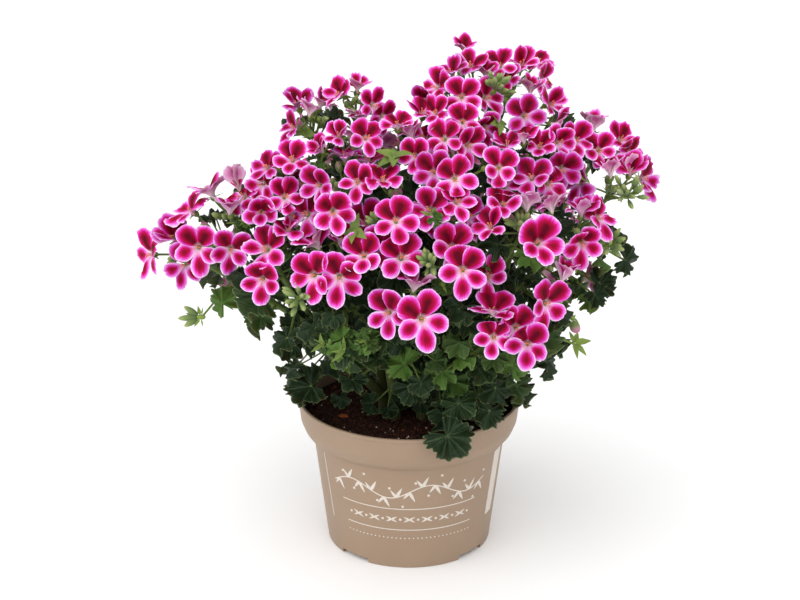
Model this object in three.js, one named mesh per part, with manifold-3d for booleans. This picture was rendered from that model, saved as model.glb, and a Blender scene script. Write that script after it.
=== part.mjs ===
// A potted angel pelargonium in bloom: a taupe plastic nursery pot with a tall rim band, potting
// mix, leafy stems that branch from the crown, and rounded heads of five-petalled blooms.
// Millimetres, +Z up, origin at the centre of the pot's foot. -Y is the plant's front.
import * as THREE from "three";
import { mergeVertices } from "three/addons/utils/BufferGeometryUtils.js";
import Module from "manifold-3d";

const wasm = await Module();
wasm.setup();

// Driving dimensions of the pot and the soil.
const POT_HEIGHT = 117.5;
const RIM_RADIUS = 85;
const BAND_FOOT_Z = 88;
const BODY_TOP_RADIUS = 73.6;
const FOOT_RADIUS = 63;
const WALL = 1.4;
const FLOOR_RAISE = 4;
const POT_SIDES = 26;
const DRAIN_HOLES = 6;
const DRAIN_RADIUS = 4;
const FOOT_SLOTS = 4;
const SLOT_TURN = 0.54;
const SLOT_WIDTH = 26;
const SOIL_LEVEL = 103;
const SEAT_GAP = 0.35;

// Driving dimensions of the plant.
const BLOOM_REACH = 19.5;
// Blooms shrink by this share from one height to another, so that the top ones are the smallest.
const TOP_SHRINK = { share: 0.2, from: 270, to: 340 };
// Blooms that stand out of the mound are wide open, and larger by a share for each millimetre.
const OPEN_SIZE = { least: 0.92, growth: 0.02 };
const LEAF_REACH = 18.5;
const LEAF_TRIES = 1500;
const LEAF_ROOM = 29;
const SKIRT_LEAVES = 27;
const BLOOM_ROOM = 17;
const SKIRT_FOOT = 120;
const SKIRT_HEIGHT = 165;
const OPEN_SOIL = { left: -75, right: 20, forward: 40, height: 150 };
const OPEN_SIDE = { left: -100, height: 172 };
const CELL_GAP = 0.45;
const FREE_SHARE = 0.72;
const CALYX_DEPTH = 4.5;
const LEAF_POINTS = 9;
const LEAF_SPAN = 2.6;
const LEAF_RUFFLE = 0.12;
const LEAF_SINUS = 0.1;
const LEAF_THICKNESS = 0.7;
const LEAF_SEAT = 1;
const LEAST_TURN = 0.35;
const PEDICEL_RADIUS = 0.9;
const PETIOLE_RADIUS = 1;
const PETIOLE_DROP = 12;
const LONGEST_PETIOLE = 66;
const UMBEL_DROP = 25;
const UMBEL_RADIUS = 3;
const COLLAR_SIDES = 3;
const BRANCH_RADIUS = 1.8;
const BRANCH_SIDES = 3;
const STEM_RADIUS = 4.2;
const STEM_SIDES = 5;
const STEM_DEPTH = 22;
const CROWN_RADIUS = 20;
const FORK_SPREAD = 0.6;
const SHORTEST_EDGE = 0.04;
const THINNEST_FACE = 0.008;

// The front view in which the blooms were measured: a pinhole view of 800 by 600 that looks
// down at the pot's axis.
const VIEW = {
  pitch: (21.2 * Math.PI) / 180,
  distance: 1500,
  focal: 1989,
  aimHeight: 194,
  axisAcross: 409.2,
  middleDown: 300,
};

// The mound of blooms, as an ellipsoid in the view's own directions: across, up and forward.
const MOUND = { up: 34, forward: 13, across: 190, rise: 160, depth: 118 };

// Heads of the front and top. A bloom is [across, down, set back, turned right, turned up]:
// where its throat stands in the front view, how many millimetres it sits behind the mound's
// surface, and which way it faces, where 0, 0 looks at the viewer.
const FRONT_HEADS = {
  west_tip: [[151, 254, 0, -0.9, 0.1], [184, 265, 0, -0.5, -0.4], [174, 238, 6, -0.7, 0.6]],
  west_low: [[198, 247, 0, -0.3, 0.1], [230, 249, 0, 0, 0], [191, 212, 5, -1.2, 0.5]],
  west_high: [[211, 194, 5, -0.5, 1], [229, 211, 0, -0.2, 1.1], [238, 187, 14, -0.4, 1]],
  west_front: [[262, 279, 0, -0.1, 0], [266, 249, 4, -0.2, 0.2], [287, 231, 12, 0.3, 1]],
  north_west: [[267, 168, 0, -0.7, 0.4], [292, 160, 0, -0.2, 0.3], [262, 184, 8, -0.9, 0]],
  west_mid: [[261, 211, 0, -0.2, 0.1], [284, 197, 2, 0.1, 0.2], [243, 197, 14, -0.7, 0.3],
    [298, 181, 16, 0.6, 0], [289, 213, 12, 0.5, -0.2]],
  west_crown: [[294, 128, 0, -0.9, 0.5], [309, 113, 0, -0.2, 1], [320, 105, 8, 0.6, 1.1],
    [297, 106, 14, -0.6, 1.2]],
  north_left: [[340, 95, 0, -1, 0.3], [357, 89, 0, 0.2, 1], [372, 105, 0, 0.9, 0.2],
    [382, 116, 8, 1, -0.2]],
  upper_left: [[338, 137, 0, -0.2, 0.6], [365, 138, 0, 0.1, 0.2], [361, 119, 10, 0, 1.1],
    [321, 151, 4, -0.3, 0.6]],
  mid_left: [[319, 185, 0, -0.2, 0.2], [357, 182, 0, 0, 0.1], [344, 158, 10, -0.1, 1]],
  centre_left: [[332, 211, -4, 0, 0.1], [306, 214, 14, -0.4, 0.1], [339, 241, 20, 0.1, 0.3]],
  front_left: [[313, 275, -2, -0.1, 0.1], [339, 277, 0, 0.2, 0], [317, 246, 10, -0.1, 0.9]],
  centre: [[363, 256, 0, -0.3, 0.2], [382, 247, 8, 0, -0.2], [401, 258, 0, 0.2, 0],
    [366, 223, 18, -0.5, 0.2]],
  centre_up: [[382, 181, 0, 0.1, 0.5], [395, 221, -4, 0, 0.1], [415, 222, 10, 0.5, 0.2],
    [415, 156, 4, -0.2, 0.3]],
  north_mid: [[397, 126, 0, 0, 0.8], [411, 137, 10, -0.2, 1], [421, 114, 10, -0.2, 0.7]],
  crown_left: [[452, 74, 0, -0.2, 1], [437, 87, 2, -0.7, 0.5], [461, 97, -6, 0, 0.2],
    [429, 98, 14, -1, 0.2], [435, 113, 6, -0.7, 0.3]],
  crown_mid: [[462, 122, -2, 0.1, 0.1], [444, 139, 0, -0.2, 0.1], [467, 145, 4, 0.3, -0.1],
    [483, 126, 8, 0.6, -0.1], [424, 139, 14, -0.5, 0.4]],
  crown_top: [[471, 67, 0, -0.2, 0.6], [464, 51, 16, -0.4, 1.2], [485, 75, 4, 0.2, 1],
    [485, 98, 8, 0.5, 0.1]],
  peak: [[500, 66, 0, -0.1, 0.5], [522, 65, 0, 0.2, 0.8], [537, 63, 10, 0.7, 0.5],
    [542, 80, 0, 1, 0], [508, 79, 18, -0.3, 0.2]],
  peak_front: [[530, 92, 0, 0.3, 1], [524, 116, -8, 0, 0], [549, 104, 0, 0.9, 0.3],
    [554, 125, 10, 1, -0.3]],
  right_top: [[506, 146, 2, -0.1, 0.5], [523, 140, 0, 0, 0.7], [539, 147, 2, 0.2, 0.6],
    [557, 142, 0, 0.2, 0.2], [575, 140, 4, 0.3, 0.2]],
  centre_right: [[454, 179, -6, 0, 0], [433, 172, 0, -0.5, 0.1], [452, 151, 10, 0, 1]],
  centre_mid: [[456, 202, 0, 0.1, 0.2], [429, 209, 2, -0.3, 0.3], [467, 217, 14, 0.3, -0.1]],
  centre_low: [[462, 270, -4, 0.1, 0], [451, 247, 6, -0.2, 0.3], [487, 276, 26, 0.6, 0]],
  right_mid: [[498, 168, 0, -0.2, 0.1], [503, 186, 10, 0, 0.4], [531, 178, 0, 0, 0.3],
    [547, 184, 8, 0.2, 0], [561, 168, 6, 0.5, -0.1]],
  right_front: [[537, 243, -10, 0, 0], [490, 227, 0, -0.2, 0.4], [502, 205, 8, -0.1, 0.2],
    [526, 207, 8, 0, 1], [551, 209, 10, 0.1, 1]],
  east_mid: [[581, 213, 0, 0.2, 0.9], [597, 218, 0, 0.7, 0.3], [581, 242, 0, 0.2, -0.1]],
  east_top: [[593, 129, 10, -0.1, 1], [598, 150, 0, 0, 0.1], [620, 140, 0, 0.6, 0.3],
    [629, 153, 0, 0.9, 0]],
  east_tip: [[610, 174, 0, -0.2, 1.1], [630, 173, 0, 0.3, 0.8], [642, 178, 0, 1, 0.3],
    [580, 182, 24, -0.5, 0.3]],
  front_centre: [[421, 319, -8, 0.1, 0], [413, 287, 8, 0.1, 0.9], [388, 312, 0, -0.2, 0.1]],
  front_right: [[515, 327, 6, -0.1, 0.2], [527, 344, -4, 0, 0], [493, 337, 4, -0.1, 0.1],
    [492, 312, 12, -0.3, 0.5]],
  right_low: [[545, 303, 0, 0.2, 0.1], [562, 279, 6, 0.3, 1]],
};

// Heads of the back, each placed on the mound by its bearing round the pot (90 is straight
// back), its height above the horizon seen from the mound's middle, and its number of blooms.
const BACK_HEADS = {
  back_1: [22, 12, 3],
  back_2: [50, 2, 4],
  back_3: [84, 6, 3],
  back_4: [118, 2, 4],
  back_5: [156, 12, 3],
  back_6: [34, 36, 4],
  back_7: [66, 32, 4],
  back_8: [102, 32, 3],
  back_9: [140, 36, 4],
  back_10: [64, 56, 4],
  back_11: [122, 60, 4],
  back_12: [20, 76, 3],
  back_13: [152, 78, 3],
};
const BACK_MIDDLE = [0, 0, 204];
const BACK_REACH = [142, 130, 110];
const BACK_SPREAD = 29;

// Leafy stems, each with its bearing round the crown and the heads that it carries.
const STEMS = {
  stem_west: { bearing: 188, heads: ["west_tip", "west_low", "west_high", "west_front"] },
  stem_north_west: {
    bearing: 160,
    heads: ["north_west", "west_mid", "west_crown", "north_left", "upper_left", "mid_left"],
  },
  stem_front_left: {
    bearing: 238,
    heads: ["centre_left", "front_left", "centre", "front_centre", "centre_up"],
  },
  stem_crown: {
    bearing: 60,
    heads: ["north_mid", "crown_left", "crown_mid", "crown_top", "peak", "peak_front", "back_12"],
  },
  stem_front_right: {
    bearing: 298,
    heads: ["centre_right", "centre_mid", "centre_low", "right_front", "front_right", "right_low"],
  },
  stem_east: { bearing: 350, heads: ["right_top", "right_mid", "east_mid", "east_top", "east_tip"] },
  stem_back_right: { bearing: 35, heads: ["back_6", "back_1", "back_2", "back_7", "back_10"] },
  stem_back_left: {
    bearing: 115,
    heads: ["back_8", "back_3", "back_4", "back_5", "back_9", "back_11", "back_13"],
  },
};

// Leaves and sprigs of buds that stand out in the front view: [across, down, how far forward of
// the axis, reach in millimetres, which way the tip points in the view in degrees (0 is right, 90
// is up), turned right, turned up].
const FRONT_LEAVES = [
  [311, 386, 30, 19, 185, -0.3, 0.3],
  [292, 345, 20, 13, 260, -0.4, 0.2],
  [299, 324, 42, 14, 240, -0.3, 0.3],
  [261, 317, 34, 13, 262, -0.3, 0.5],
  [222, 303, 42, 15, 120, -0.3, 0.1],
  [345, 355, 80, 14, 225, -0.2, 0.6],
  [352, 380, 48, 11, 300, 0, 0.5],
  [404, 364, 76, 14, 160, -0.2, 0.7],
  [412, 386, 50, 15, 250, -0.1, 0.6],
  [447, 436, 62, 20, 318, 0.1, 0.3],
  [458, 403, 60, 16, 262, 0, 0.5],
  [495, 388, 56, 17, 265, 0.1, 0.5],
  [489, 411, 50, 14, 255, 0.3, 0.2],
  [441, 371, 74, 13, 215, -0.1, 0.8],
  [458, 358, 90, 13, 30, 0.2, 0.8],
  [512, 366, 68, 15, 60, 0.2, 0.7],
  [516, 386, 42, 13, 320, 0.4, 0.5],
  [546, 362, 48, 15, 320, 0.4, 0.5],
  [573, 343, 46, 14, 350, 0.5, 0.4],
  [625, 260, 20, 13, 345, 0.3, 0.2],
  [599, 284, 26, 14, 5, 0.3, 0.2],
  [594, 294, 36, 11, 320, 0.3, 0.1],
  [576, 262, 50, 13, 150, 0, 0.2],
  [330, 315, 70, 14, 200, -0.2, 0.5],
  [372, 338, 84, 14, 300, 0, 0.6],
  [466, 322, 96, 14, 20, 0, 0.5],
];
const FRONT_SPRIGS = [
  [201, 317, 36, 18, 178, -0.2, 0.1],
  [603, 250, 62, 13, 60, 0.3, 0.3],
  [572, 318, 56, 12, 350, 0.5, 0.3],
  [505, 100, 26, 13, 80, 0, 0.6],
  [440, 226, 92, 13, 100, 0, 0.6],
];

const COLOURS = { pot: 0xa48e7a, soil: 0x2b1a12, stem: 0x4f7a34, bloom: 0xc4187c };

// Vectors as plain arrays.
const add = (a, b, k = 1) => a.map((x, i) => x + k * b[i]);
const sub = (a, b) => a.map((x, i) => x - b[i]);
const dot = (a, b) => a[0] * b[0] + a[1] * b[1] + a[2] * b[2];
const length = (a) => Math.sqrt(dot(a, a));
const unit = (a) => a.map((x) => x / length(a));
const mean = (list) => list.reduce((s, p) => add(s, p), [0, 0, 0]).map((x) => x / list.length);
const cross = (a, b) => [
  a[1] * b[2] - a[2] * b[1],
  a[2] * b[0] - a[0] * b[2],
  a[0] * b[1] - a[1] * b[0],
];

// A repeatable draw from 0 to 1 for a whole number.
function draw(n) {
  let t = (n * 2654435761 + 40503) >>> 0;
  t = Math.imul(t ^ (t >>> 15), 2246822519) >>> 0;
  t = Math.imul(t ^ (t >>> 13), 3266489917) >>> 0;
  return ((t ^ (t >>> 16)) >>> 0) / 4294967296;
}

// The view's directions in the plant's frame.
const TOWARD = [0, -Math.cos(VIEW.pitch), Math.sin(VIEW.pitch)];
const UPWARD = [0, Math.sin(VIEW.pitch), Math.cos(VIEW.pitch)];

function inView(across, up, forward) {
  return add(add([across, 0, VIEW.aimHeight], UPWARD, up), TOWARD, forward);
}

// The bloom that a row of FRONT_HEADS describes.
function frontBloom([acrossPx, downPx, setBack, right, rise]) {
  const scale = VIEW.distance / VIEW.focal;
  const u = (acrossPx - VIEW.axisAcross) * scale;
  const v = (VIEW.middleDown - downPx) * scale;
  const left = 1 - (u / MOUND.across) ** 2 - ((v - MOUND.up) / MOUND.rise) ** 2;
  const forward = MOUND.forward + MOUND.depth * Math.sqrt(Math.max(0, left)) - setBack;
  const nearer = 1 - forward / VIEW.distance;
  const at = inView(u * nearer, v * nearer, forward);
  const face = unit(add(add(TOWARD, UPWARD, rise), [right, 0, 0]));
  return { at, face, proud: Math.max(0, -setBack) };
}

// The blooms of one head of the back: one in the middle and the rest in a ring round it.
function backBlooms([bearing, height, count], seed) {
  const a = (bearing * Math.PI) / 180;
  const h = (height * Math.PI) / 180;
  const ray = [Math.cos(a) * Math.cos(h), Math.sin(a) * Math.cos(h), Math.sin(h)];
  const middle = add(BACK_MIDDLE, ray.map((x, i) => x * BACK_REACH[i]));
  const out = unit(ray.map((x, i) => x / BACK_REACH[i]));
  const side = unit(cross([0, 0, 1], out));
  const rise = cross(out, side);
  return Array.from({ length: count }, (_, k) => {
    const angle = (k * 2 * Math.PI) / (count - 1) + seed;
    const spread = k === count - 1 ? 0 : BACK_SPREAD + 6 * draw(seed * 31 + k);
    const lean = add(side.map((x) => x * Math.cos(angle)), rise, Math.sin(angle));
    const at = add(add(middle, lean, spread), out, spread ? -9 * draw(seed * 57 + k) : 4);
    return { at, face: unit(add(add(out, lean, spread ? 0.5 : 0), [0, 0, 1], 0.25)) };
  });
}

// Every head: its blooms and the point where their stalks meet.
const heads = {};
for (const [name, rows] of Object.entries(FRONT_HEADS)) heads[name] = { blooms: rows.map(frontBloom) };
Object.entries(BACK_HEADS).forEach(([name, row], i) => {
  heads[name] = { blooms: backBlooms(row, i + 1) };
});
for (const head of Object.values(heads)) {
  head.out = unit(mean(head.blooms.map((b) => b.face)));
  head.umbel = add(mean(head.blooms.map((b) => b.at)), head.out, -UMBEL_DROP);
}

// Blades are the blooms and leaves. Each keeps to a cell of its own, so that no two cross.
// Sticks are stalks and stems: straight pieces with a radius, which blades keep clear of.
const blades = [];
const sticks = [];

let drawn = 0;
for (const [name, head] of Object.entries(heads))
  for (const bloom of head.blooms) {
    const height = (bloom.at[2] - TOP_SHRINK.from) / (TOP_SHRINK.to - TOP_SHRINK.from);
    bloom.size = 0.8 + 0.16 * draw(drawn);
    if (bloom.proud) bloom.size = OPEN_SIZE.least + OPEN_SIZE.growth * bloom.proud;
    bloom.size *= 1 - TOP_SHRINK.share * Math.min(1, Math.max(0, height));
    bloom.roll = 0.5 * (draw(drawn + 1000) - 0.5);
    drawn += 1;
    blades.push({ kind: "bloom", at: bloom.at, reach: BLOOM_REACH * bloom.size, owner: name, bloom });
    bloom.stalk = {
      from: add(bloom.at, bloom.face, -CALYX_DEPTH),
      to: head.umbel,
      radius: PEDICEL_RADIUS,
      owner: name,
      blade: blades.length - 1,
    };
    sticks.push(bloom.stalk);
  }

// A stem rises from the crown and bends to its first head. Its other branches leave it one
// after another on the way, each to a head of its own.
const stems = Object.entries(STEMS).map(([name, { bearing, heads: carried }]) => {
  const a = (bearing * Math.PI) / 180;
  const foot = [CROWN_RADIUS * Math.cos(a), CROWN_RADIUS * Math.sin(a), SOIL_LEVEL - STEM_DEPTH];
  const middle = mean(carried.map((h) => heads[h].umbel));
  const collar = add(foot, [0, 0, STEM_DEPTH + 12]);
  const fork = add(collar, sub(middle, collar), 0.5);
  const stem = { name, foot, collar, fork, branches: [], leaves: [] };
  sticks.push({ from: foot, to: collar, radius: STEM_RADIUS, owner: name });
  sticks.push({ from: collar, to: fork, radius: STEM_RADIUS, owner: name });
  carried.forEach((h, k) => {
    const { umbel } = heads[h];
    const start = add(collar, sub(fork, collar), 1 - (FORK_SPREAD * k) / carried.length);
    const along = unit(sub(umbel, start));
    const tip = add(umbel, along, -(UMBEL_RADIUS + SEAT_GAP));
    heads[h].along = along;
    stem.branches.push([start, tip]);
    sticks.push({ from: start, to: tip, radius: BRANCH_RADIUS, owner: name });
    const ends = { from: add(umbel, along, -UMBEL_RADIUS), to: add(umbel, along, UMBEL_RADIUS) };
    sticks.push({ ...ends, radius: UMBEL_RADIUS, owner: h });
  });
  return stem;
});

// The rim keeps the leaves off the pot.
for (let i = 0; i < 24; i += 1) {
  const corner = (k) => [
    RIM_RADIUS * Math.cos((k * Math.PI) / 12),
    RIM_RADIUS * Math.sin((k * Math.PI) / 12),
    POT_HEIGHT - 1,
  ];
  sticks.push({ from: corner(i), to: corner(i + 1), radius: 2.4, owner: "pot" });
}

function nearestOn(stick, p) {
  const run = sub(stick.to, stick.from);
  const t = dot(sub(p, stick.from), run) / dot(run, run);
  return add(stick.from, run, Math.min(1, Math.max(0, t)));
}

// The shortest way between two straight sticks.
function between(s, t) {
  let best = Infinity;
  const steps = 12;
  for (let i = 0; i <= steps; i += 1) {
    const p = add(s.from, sub(s.to, s.from), i / steps);
    best = Math.min(best, length(sub(nearestOn(t, p), p)));
  }
  return best;
}

// Joins a leaf to the nearest point of a stem by a stalk of its own.
function addLeaf(leaf, reach, mustBeClear) {
  const { at } = leaf;
  let best = null;
  stems.forEach((stem) =>
    sticks
      .filter((s) => s.owner === stem.name && !s.leaf)
      .forEach((s) => {
        const joint = nearestOn(s, add(at, [0, 0, -PETIOLE_DROP]));
        const gap = length(sub(joint, at));
        if (joint[2] > SOIL_LEVEL + 8 && (!best || gap < best.gap)) best = { stem, joint, gap, s };
      }),
  );
  const owner = best.stem.name;
  const petiole = { from: at, to: best.joint, radius: PETIOLE_RADIUS, owner, leaf: true };
  const meets = (s) => s !== best.s && s.owner !== owner && between(petiole, s) < 2.4 + s.radius;
  const crosses = (b) => length(sub(nearestOn(petiole, b.at), b.at)) < 8;
  const blocked = best.gap > LONGEST_PETIOLE || sticks.some(meets) || blades.some(crosses);
  if (mustBeClear && blocked) return;
  blades.push({ kind: "leaf", at, reach, owner, leaf });
  petiole.blade = blades.length - 1;
  sticks.push(petiole);
  leaf.stalk = petiole;
  best.stem.leaves.push(leaf);
}

function frontLeaf([acrossPx, downPx, forward, reach, tipDegrees, right, rise], sprig) {
  const scale = (VIEW.distance - forward) / VIEW.focal;
  const at = inView((acrossPx - VIEW.axisAcross) * scale, (VIEW.middleDown - downPx) * scale, forward);
  const a = (tipDegrees * Math.PI) / 180;
  const tip = add([Math.cos(a), 0, 0], UPWARD, Math.sin(a));
  const face = unit(add(add(TOWARD, UPWARD, rise), [right, 0, 0]));
  addLeaf({ at, tip, face, sprig }, reach, false);
}
FRONT_LEAVES.forEach((row) => frontLeaf(row, false));
FRONT_SPRIGS.forEach((row) => frontLeaf(row, true));

// The other leaves fill a skirt round the stems, below and between the heads. They are tried
// in turn along a spiral, and one stays where nothing else is in its way and where it doesn't
// hide the open soil at the front or the open side at the left.
const GOLDEN = Math.PI * (3 - Math.sqrt(5));
const HEIGHT_STEP = 0.7548777;
const placed = blades.length;
for (let k = 0; k < LEAF_TRIES && blades.length < placed + SKIRT_LEAVES; k += 1) {
  const share = (k * HEIGHT_STEP) % 1;
  const height = SKIRT_FOOT + SKIRT_HEIGHT * share * (0.45 + 0.55 * share);
  const bearing = k * GOLDEN;
  const outward = 0.66 + 0.34 * Math.sqrt(draw(k + 5000));
  const climb = Math.min(height - SKIRT_FOOT, 84);
  const at = [
    (90 + 0.8 * climb) * outward * Math.cos(bearing),
    (88 + 0.4 * climb) * outward * Math.sin(bearing),
    height,
  ];
  const low = at[1] < -OPEN_SOIL.forward && height < OPEN_SOIL.height;
  if (low && at[0] > OPEN_SOIL.left && at[0] < OPEN_SOIL.right) continue;
  if (at[0] < OPEN_SIDE.left && height < OPEN_SIDE.height) continue;
  const room = (b) => length(sub(b.at, at)) - (b.kind === "bloom" ? BLOOM_ROOM : LEAF_ROOM);
  if (blades.some((b) => room(b) < 0)) continue;
  if (sticks.some((s) => length(sub(nearestOn(s, at), at)) < 6 + s.radius)) continue;
  const out = unit([at[0], at[1], 0]);
  const lean = 0.3 + 0.9 * draw(k + 7000);
  const face = unit(add([0, 0, 1], out, lean));
  const leaf = { at, face, tip: unit(add(out, [0, 0, 1], -lean)) };
  addLeaf(leaf, LEAF_REACH * (0.75 + 0.4 * draw(k + 8000)), true);
}

// The walls of a blade's cell: flat limits between it and each neighbour and each stick near it.
function wallsOf(index) {
  const me = blades[index];
  const walls = [];
  blades.forEach((other, i) => {
    const away = sub(other.at, me.at);
    const gap = length(away);
    if (i === index || gap > me.reach + other.reach + 12) return;
    const share = me.reach / (me.reach + other.reach);
    walls.push({ normal: unit(away), far: gap * share - CELL_GAP });
  });
  sticks.forEach((stick) => {
    if (stick.blade === index) return;
    const away = sub(nearestOn(stick, me.at), me.at);
    const gap = length(away);
    if (gap > me.reach + 12) return;
    walls.push({ normal: unit(away), far: Math.max(0.5, gap - stick.radius - CELL_GAP) });
  });
  walls.push({ normal: [0, 0, -1], far: me.at[2] - SOIL_LEVEL - 4 });
  return walls;
}

// Draws a point in towards the blade's own centre where it would come near a wall.
function keepIn(p, centre, walls, limit) {
  const away = sub(p, centre);
  let share = length(away) / limit;
  for (const { normal, far } of walls) share = Math.max(share, dot(away, normal) / far);
  if (share <= FREE_SHARE) return p;
  const spare = 1 - FREE_SHARE;
  const kept = FREE_SHARE + spare * (1 - Math.exp(-(share - FREE_SHARE) / spare));
  return add(centre, away, kept / share);
}

// Solids.
function solidOf(geometry) {
  const plain = new THREE.BufferGeometry().setAttribute("position", geometry.getAttribute("position"));
  if (geometry.index) plain.setIndex(geometry.index);
  const merged = mergeVertices(plain, 1e-4);
  return new wasm.Manifold(
    new wasm.Mesh({
      numProp: 3,
      vertProperties: new Float32Array(merged.attributes.position.array),
      triVerts: new Uint32Array(merged.index.array),
    }),
  );
}

function solidFrom(points, faces) {
  return new wasm.Manifold(
    new wasm.Mesh({
      numProp: 3,
      vertProperties: Float32Array.from(points.flat()),
      triVerts: Uint32Array.from(faces.flat()),
    }),
  );
}

// The plain geometry of a solid, with each corner held once.
function meshOf(solid) {
  const mesh = solid.getMesh();
  const geometry = new THREE.BufferGeometry();
  geometry.setAttribute("position", new THREE.BufferAttribute(new Float32Array(mesh.vertProperties), 3));
  geometry.setIndex(new THREE.BufferAttribute(new Uint32Array(mesh.triVerts), 1));
  const merged = mergeVertices(geometry, 1e-4);
  const flat = Array.from(merged.attributes.position.array);
  const list = Array.from(merged.index.array);
  const points = Array.from({ length: flat.length / 3 }, (_, i) => flat.slice(3 * i, 3 * i + 3));
  const faces = Array.from({ length: list.length / 3 }, (_, i) => list.slice(3 * i, 3 * i + 3));
  return { points, faces };
}

// A face's normal, longest edge and height over that edge.
function shapeOf(points, [a, b, c]) {
  const area = cross(sub(points[b], points[a]), sub(points[c], points[a]));
  const edges = [[a, b, c], [b, c, a], [c, a, b]].map(([from, to, tip]) => {
    return { from, to, tip, long: length(sub(points[to], points[from])) };
  });
  const longest = edges.reduce((most, e) => (e.long > most.long ? e : most));
  const shortest = edges.reduce((least, e) => (e.long < least.long ? e : least));
  return { area, longest, shortest, height: length(area) / Math.max(longest.long, 1e-9) };
}

// Draws the two ends of a short edge together, where the mesh around them allows it.
function drawTogether(points, faces, a, b) {
  const around = (v) => new Set(faces.filter((f) => f.includes(v)).flat());
  const [mine, theirs] = [around(a), around(b)];
  const shared = [...mine].filter((v) => theirs.has(v) && v !== a && v !== b);
  if (shared.length !== 2) return null;
  const kept = faces.filter((f) => !(f.includes(a) && f.includes(b)));
  const moved = kept.map((f) => f.map((v) => (v === b ? a : v)));
  const worse = moved.some((f, i) => {
    if (f === kept[i] || !kept[i].includes(b)) return false;
    const [before, after] = [shapeOf(points, kept[i]), shapeOf(points, f)];
    const turned = dot(before.area, after.area) <= 0 && before.height > THINNEST_FACE;
    return turned || after.height < Math.min(before.height, THINNEST_FACE);
  });
  return worse ? null : moved;
}

// Turns the longest edge of a thin face, so that it and its neighbour share the other diagonal.
function turnEdge(points, faces, thin) {
  const { from, to, tip } = shapeOf(points, thin).longest;
  const other = faces.find((f) => f !== thin && f.includes(from) && f.includes(to));
  const far = other.find((v) => v !== from && v !== to);
  if (faces.some((f) => f.includes(tip) && f.includes(far))) return null;
  const pair = [[from, far, tip], [far, to, tip]];
  const facing = shapeOf(points, other).area;
  const sound = pair.every((f) => {
    const { area, height } = shapeOf(points, f);
    return dot(area, facing) > 0 && height > shapeOf(points, thin).height;
  });
  return sound ? [...faces.filter((f) => f !== thin && f !== other), ...pair] : null;
}

// Where two joined pieces meet almost in a line, the join leaves needle-thin faces. They are
// taken out one at a time, which moves the surface by less than the shortest edge.
function withoutNeedles({ points, faces }) {
  let left = faces;
  for (let again = true; again; ) {
    again = false;
    for (const face of left) {
      const { shortest, height } = shapeOf(points, face);
      const short = shortest.long < SHORTEST_EDGE;
      if (!short && height >= THINNEST_FACE) continue;
      const next =
        (short && drawTogether(points, left, shortest.from, shortest.to)) ||
        (short && drawTogether(points, left, shortest.to, shortest.from)) ||
        (height < THINNEST_FACE && turnEdge(points, left, face));
      if (!next) continue;
      left = next;
      again = true;
      break;
    }
  }
  return { points, faces: left };
}

function geometryOf(solid) {
  const { points, faces } = withoutNeedles(meshOf(solid));
  const geometry = new THREE.BufferGeometry();
  const corners = faces.flatMap((f) => f.flatMap((v) => points[v]));
  geometry.setAttribute("position", new THREE.BufferAttribute(Float32Array.from(corners), 3));
  const merged = mergeVertices(geometry, 1e-4);
  merged.computeVertexNormals();
  return merged;
}

function sideways(along) {
  const other = Math.abs(along[2]) < 0.9 ? [0, 0, 1] : [1, 0, 0];
  return unit(cross(other, along));
}

// A closed tube through the points, with a radius at each.
function tube(points, radii, sides) {
  const verts = [];
  const faces = [];
  let x = sideways(unit(sub(points[1], points[0])));
  points.forEach((p, i) => {
    const along = unit(sub(points[Math.min(i + 1, points.length - 1)], points[Math.max(i - 1, 0)]));
    x = unit(add(x, along, -dot(x, along)));
    const y = cross(along, x);
    for (let k = 0; k < sides; k += 1) {
      const a = (k * 2 * Math.PI) / sides;
      verts.push(add(add(p, x, radii[i] * Math.cos(a)), y, radii[i] * Math.sin(a)));
    }
  });
  for (let i = 0; i + 1 < points.length; i += 1)
    for (let k = 0; k < sides; k += 1) {
      const [a, b] = [i * sides + k, i * sides + ((k + 1) % sides)];
      faces.push([a, b, b + sides], [a, b + sides, a + sides]);
    }
  const last = (points.length - 1) * sides;
  for (let k = 1; k + 1 < sides; k += 1) faces.push([0, k + 1, k], [last, last + k, last + k + 1]);
  return solidFrom(verts, faces);
}

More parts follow.
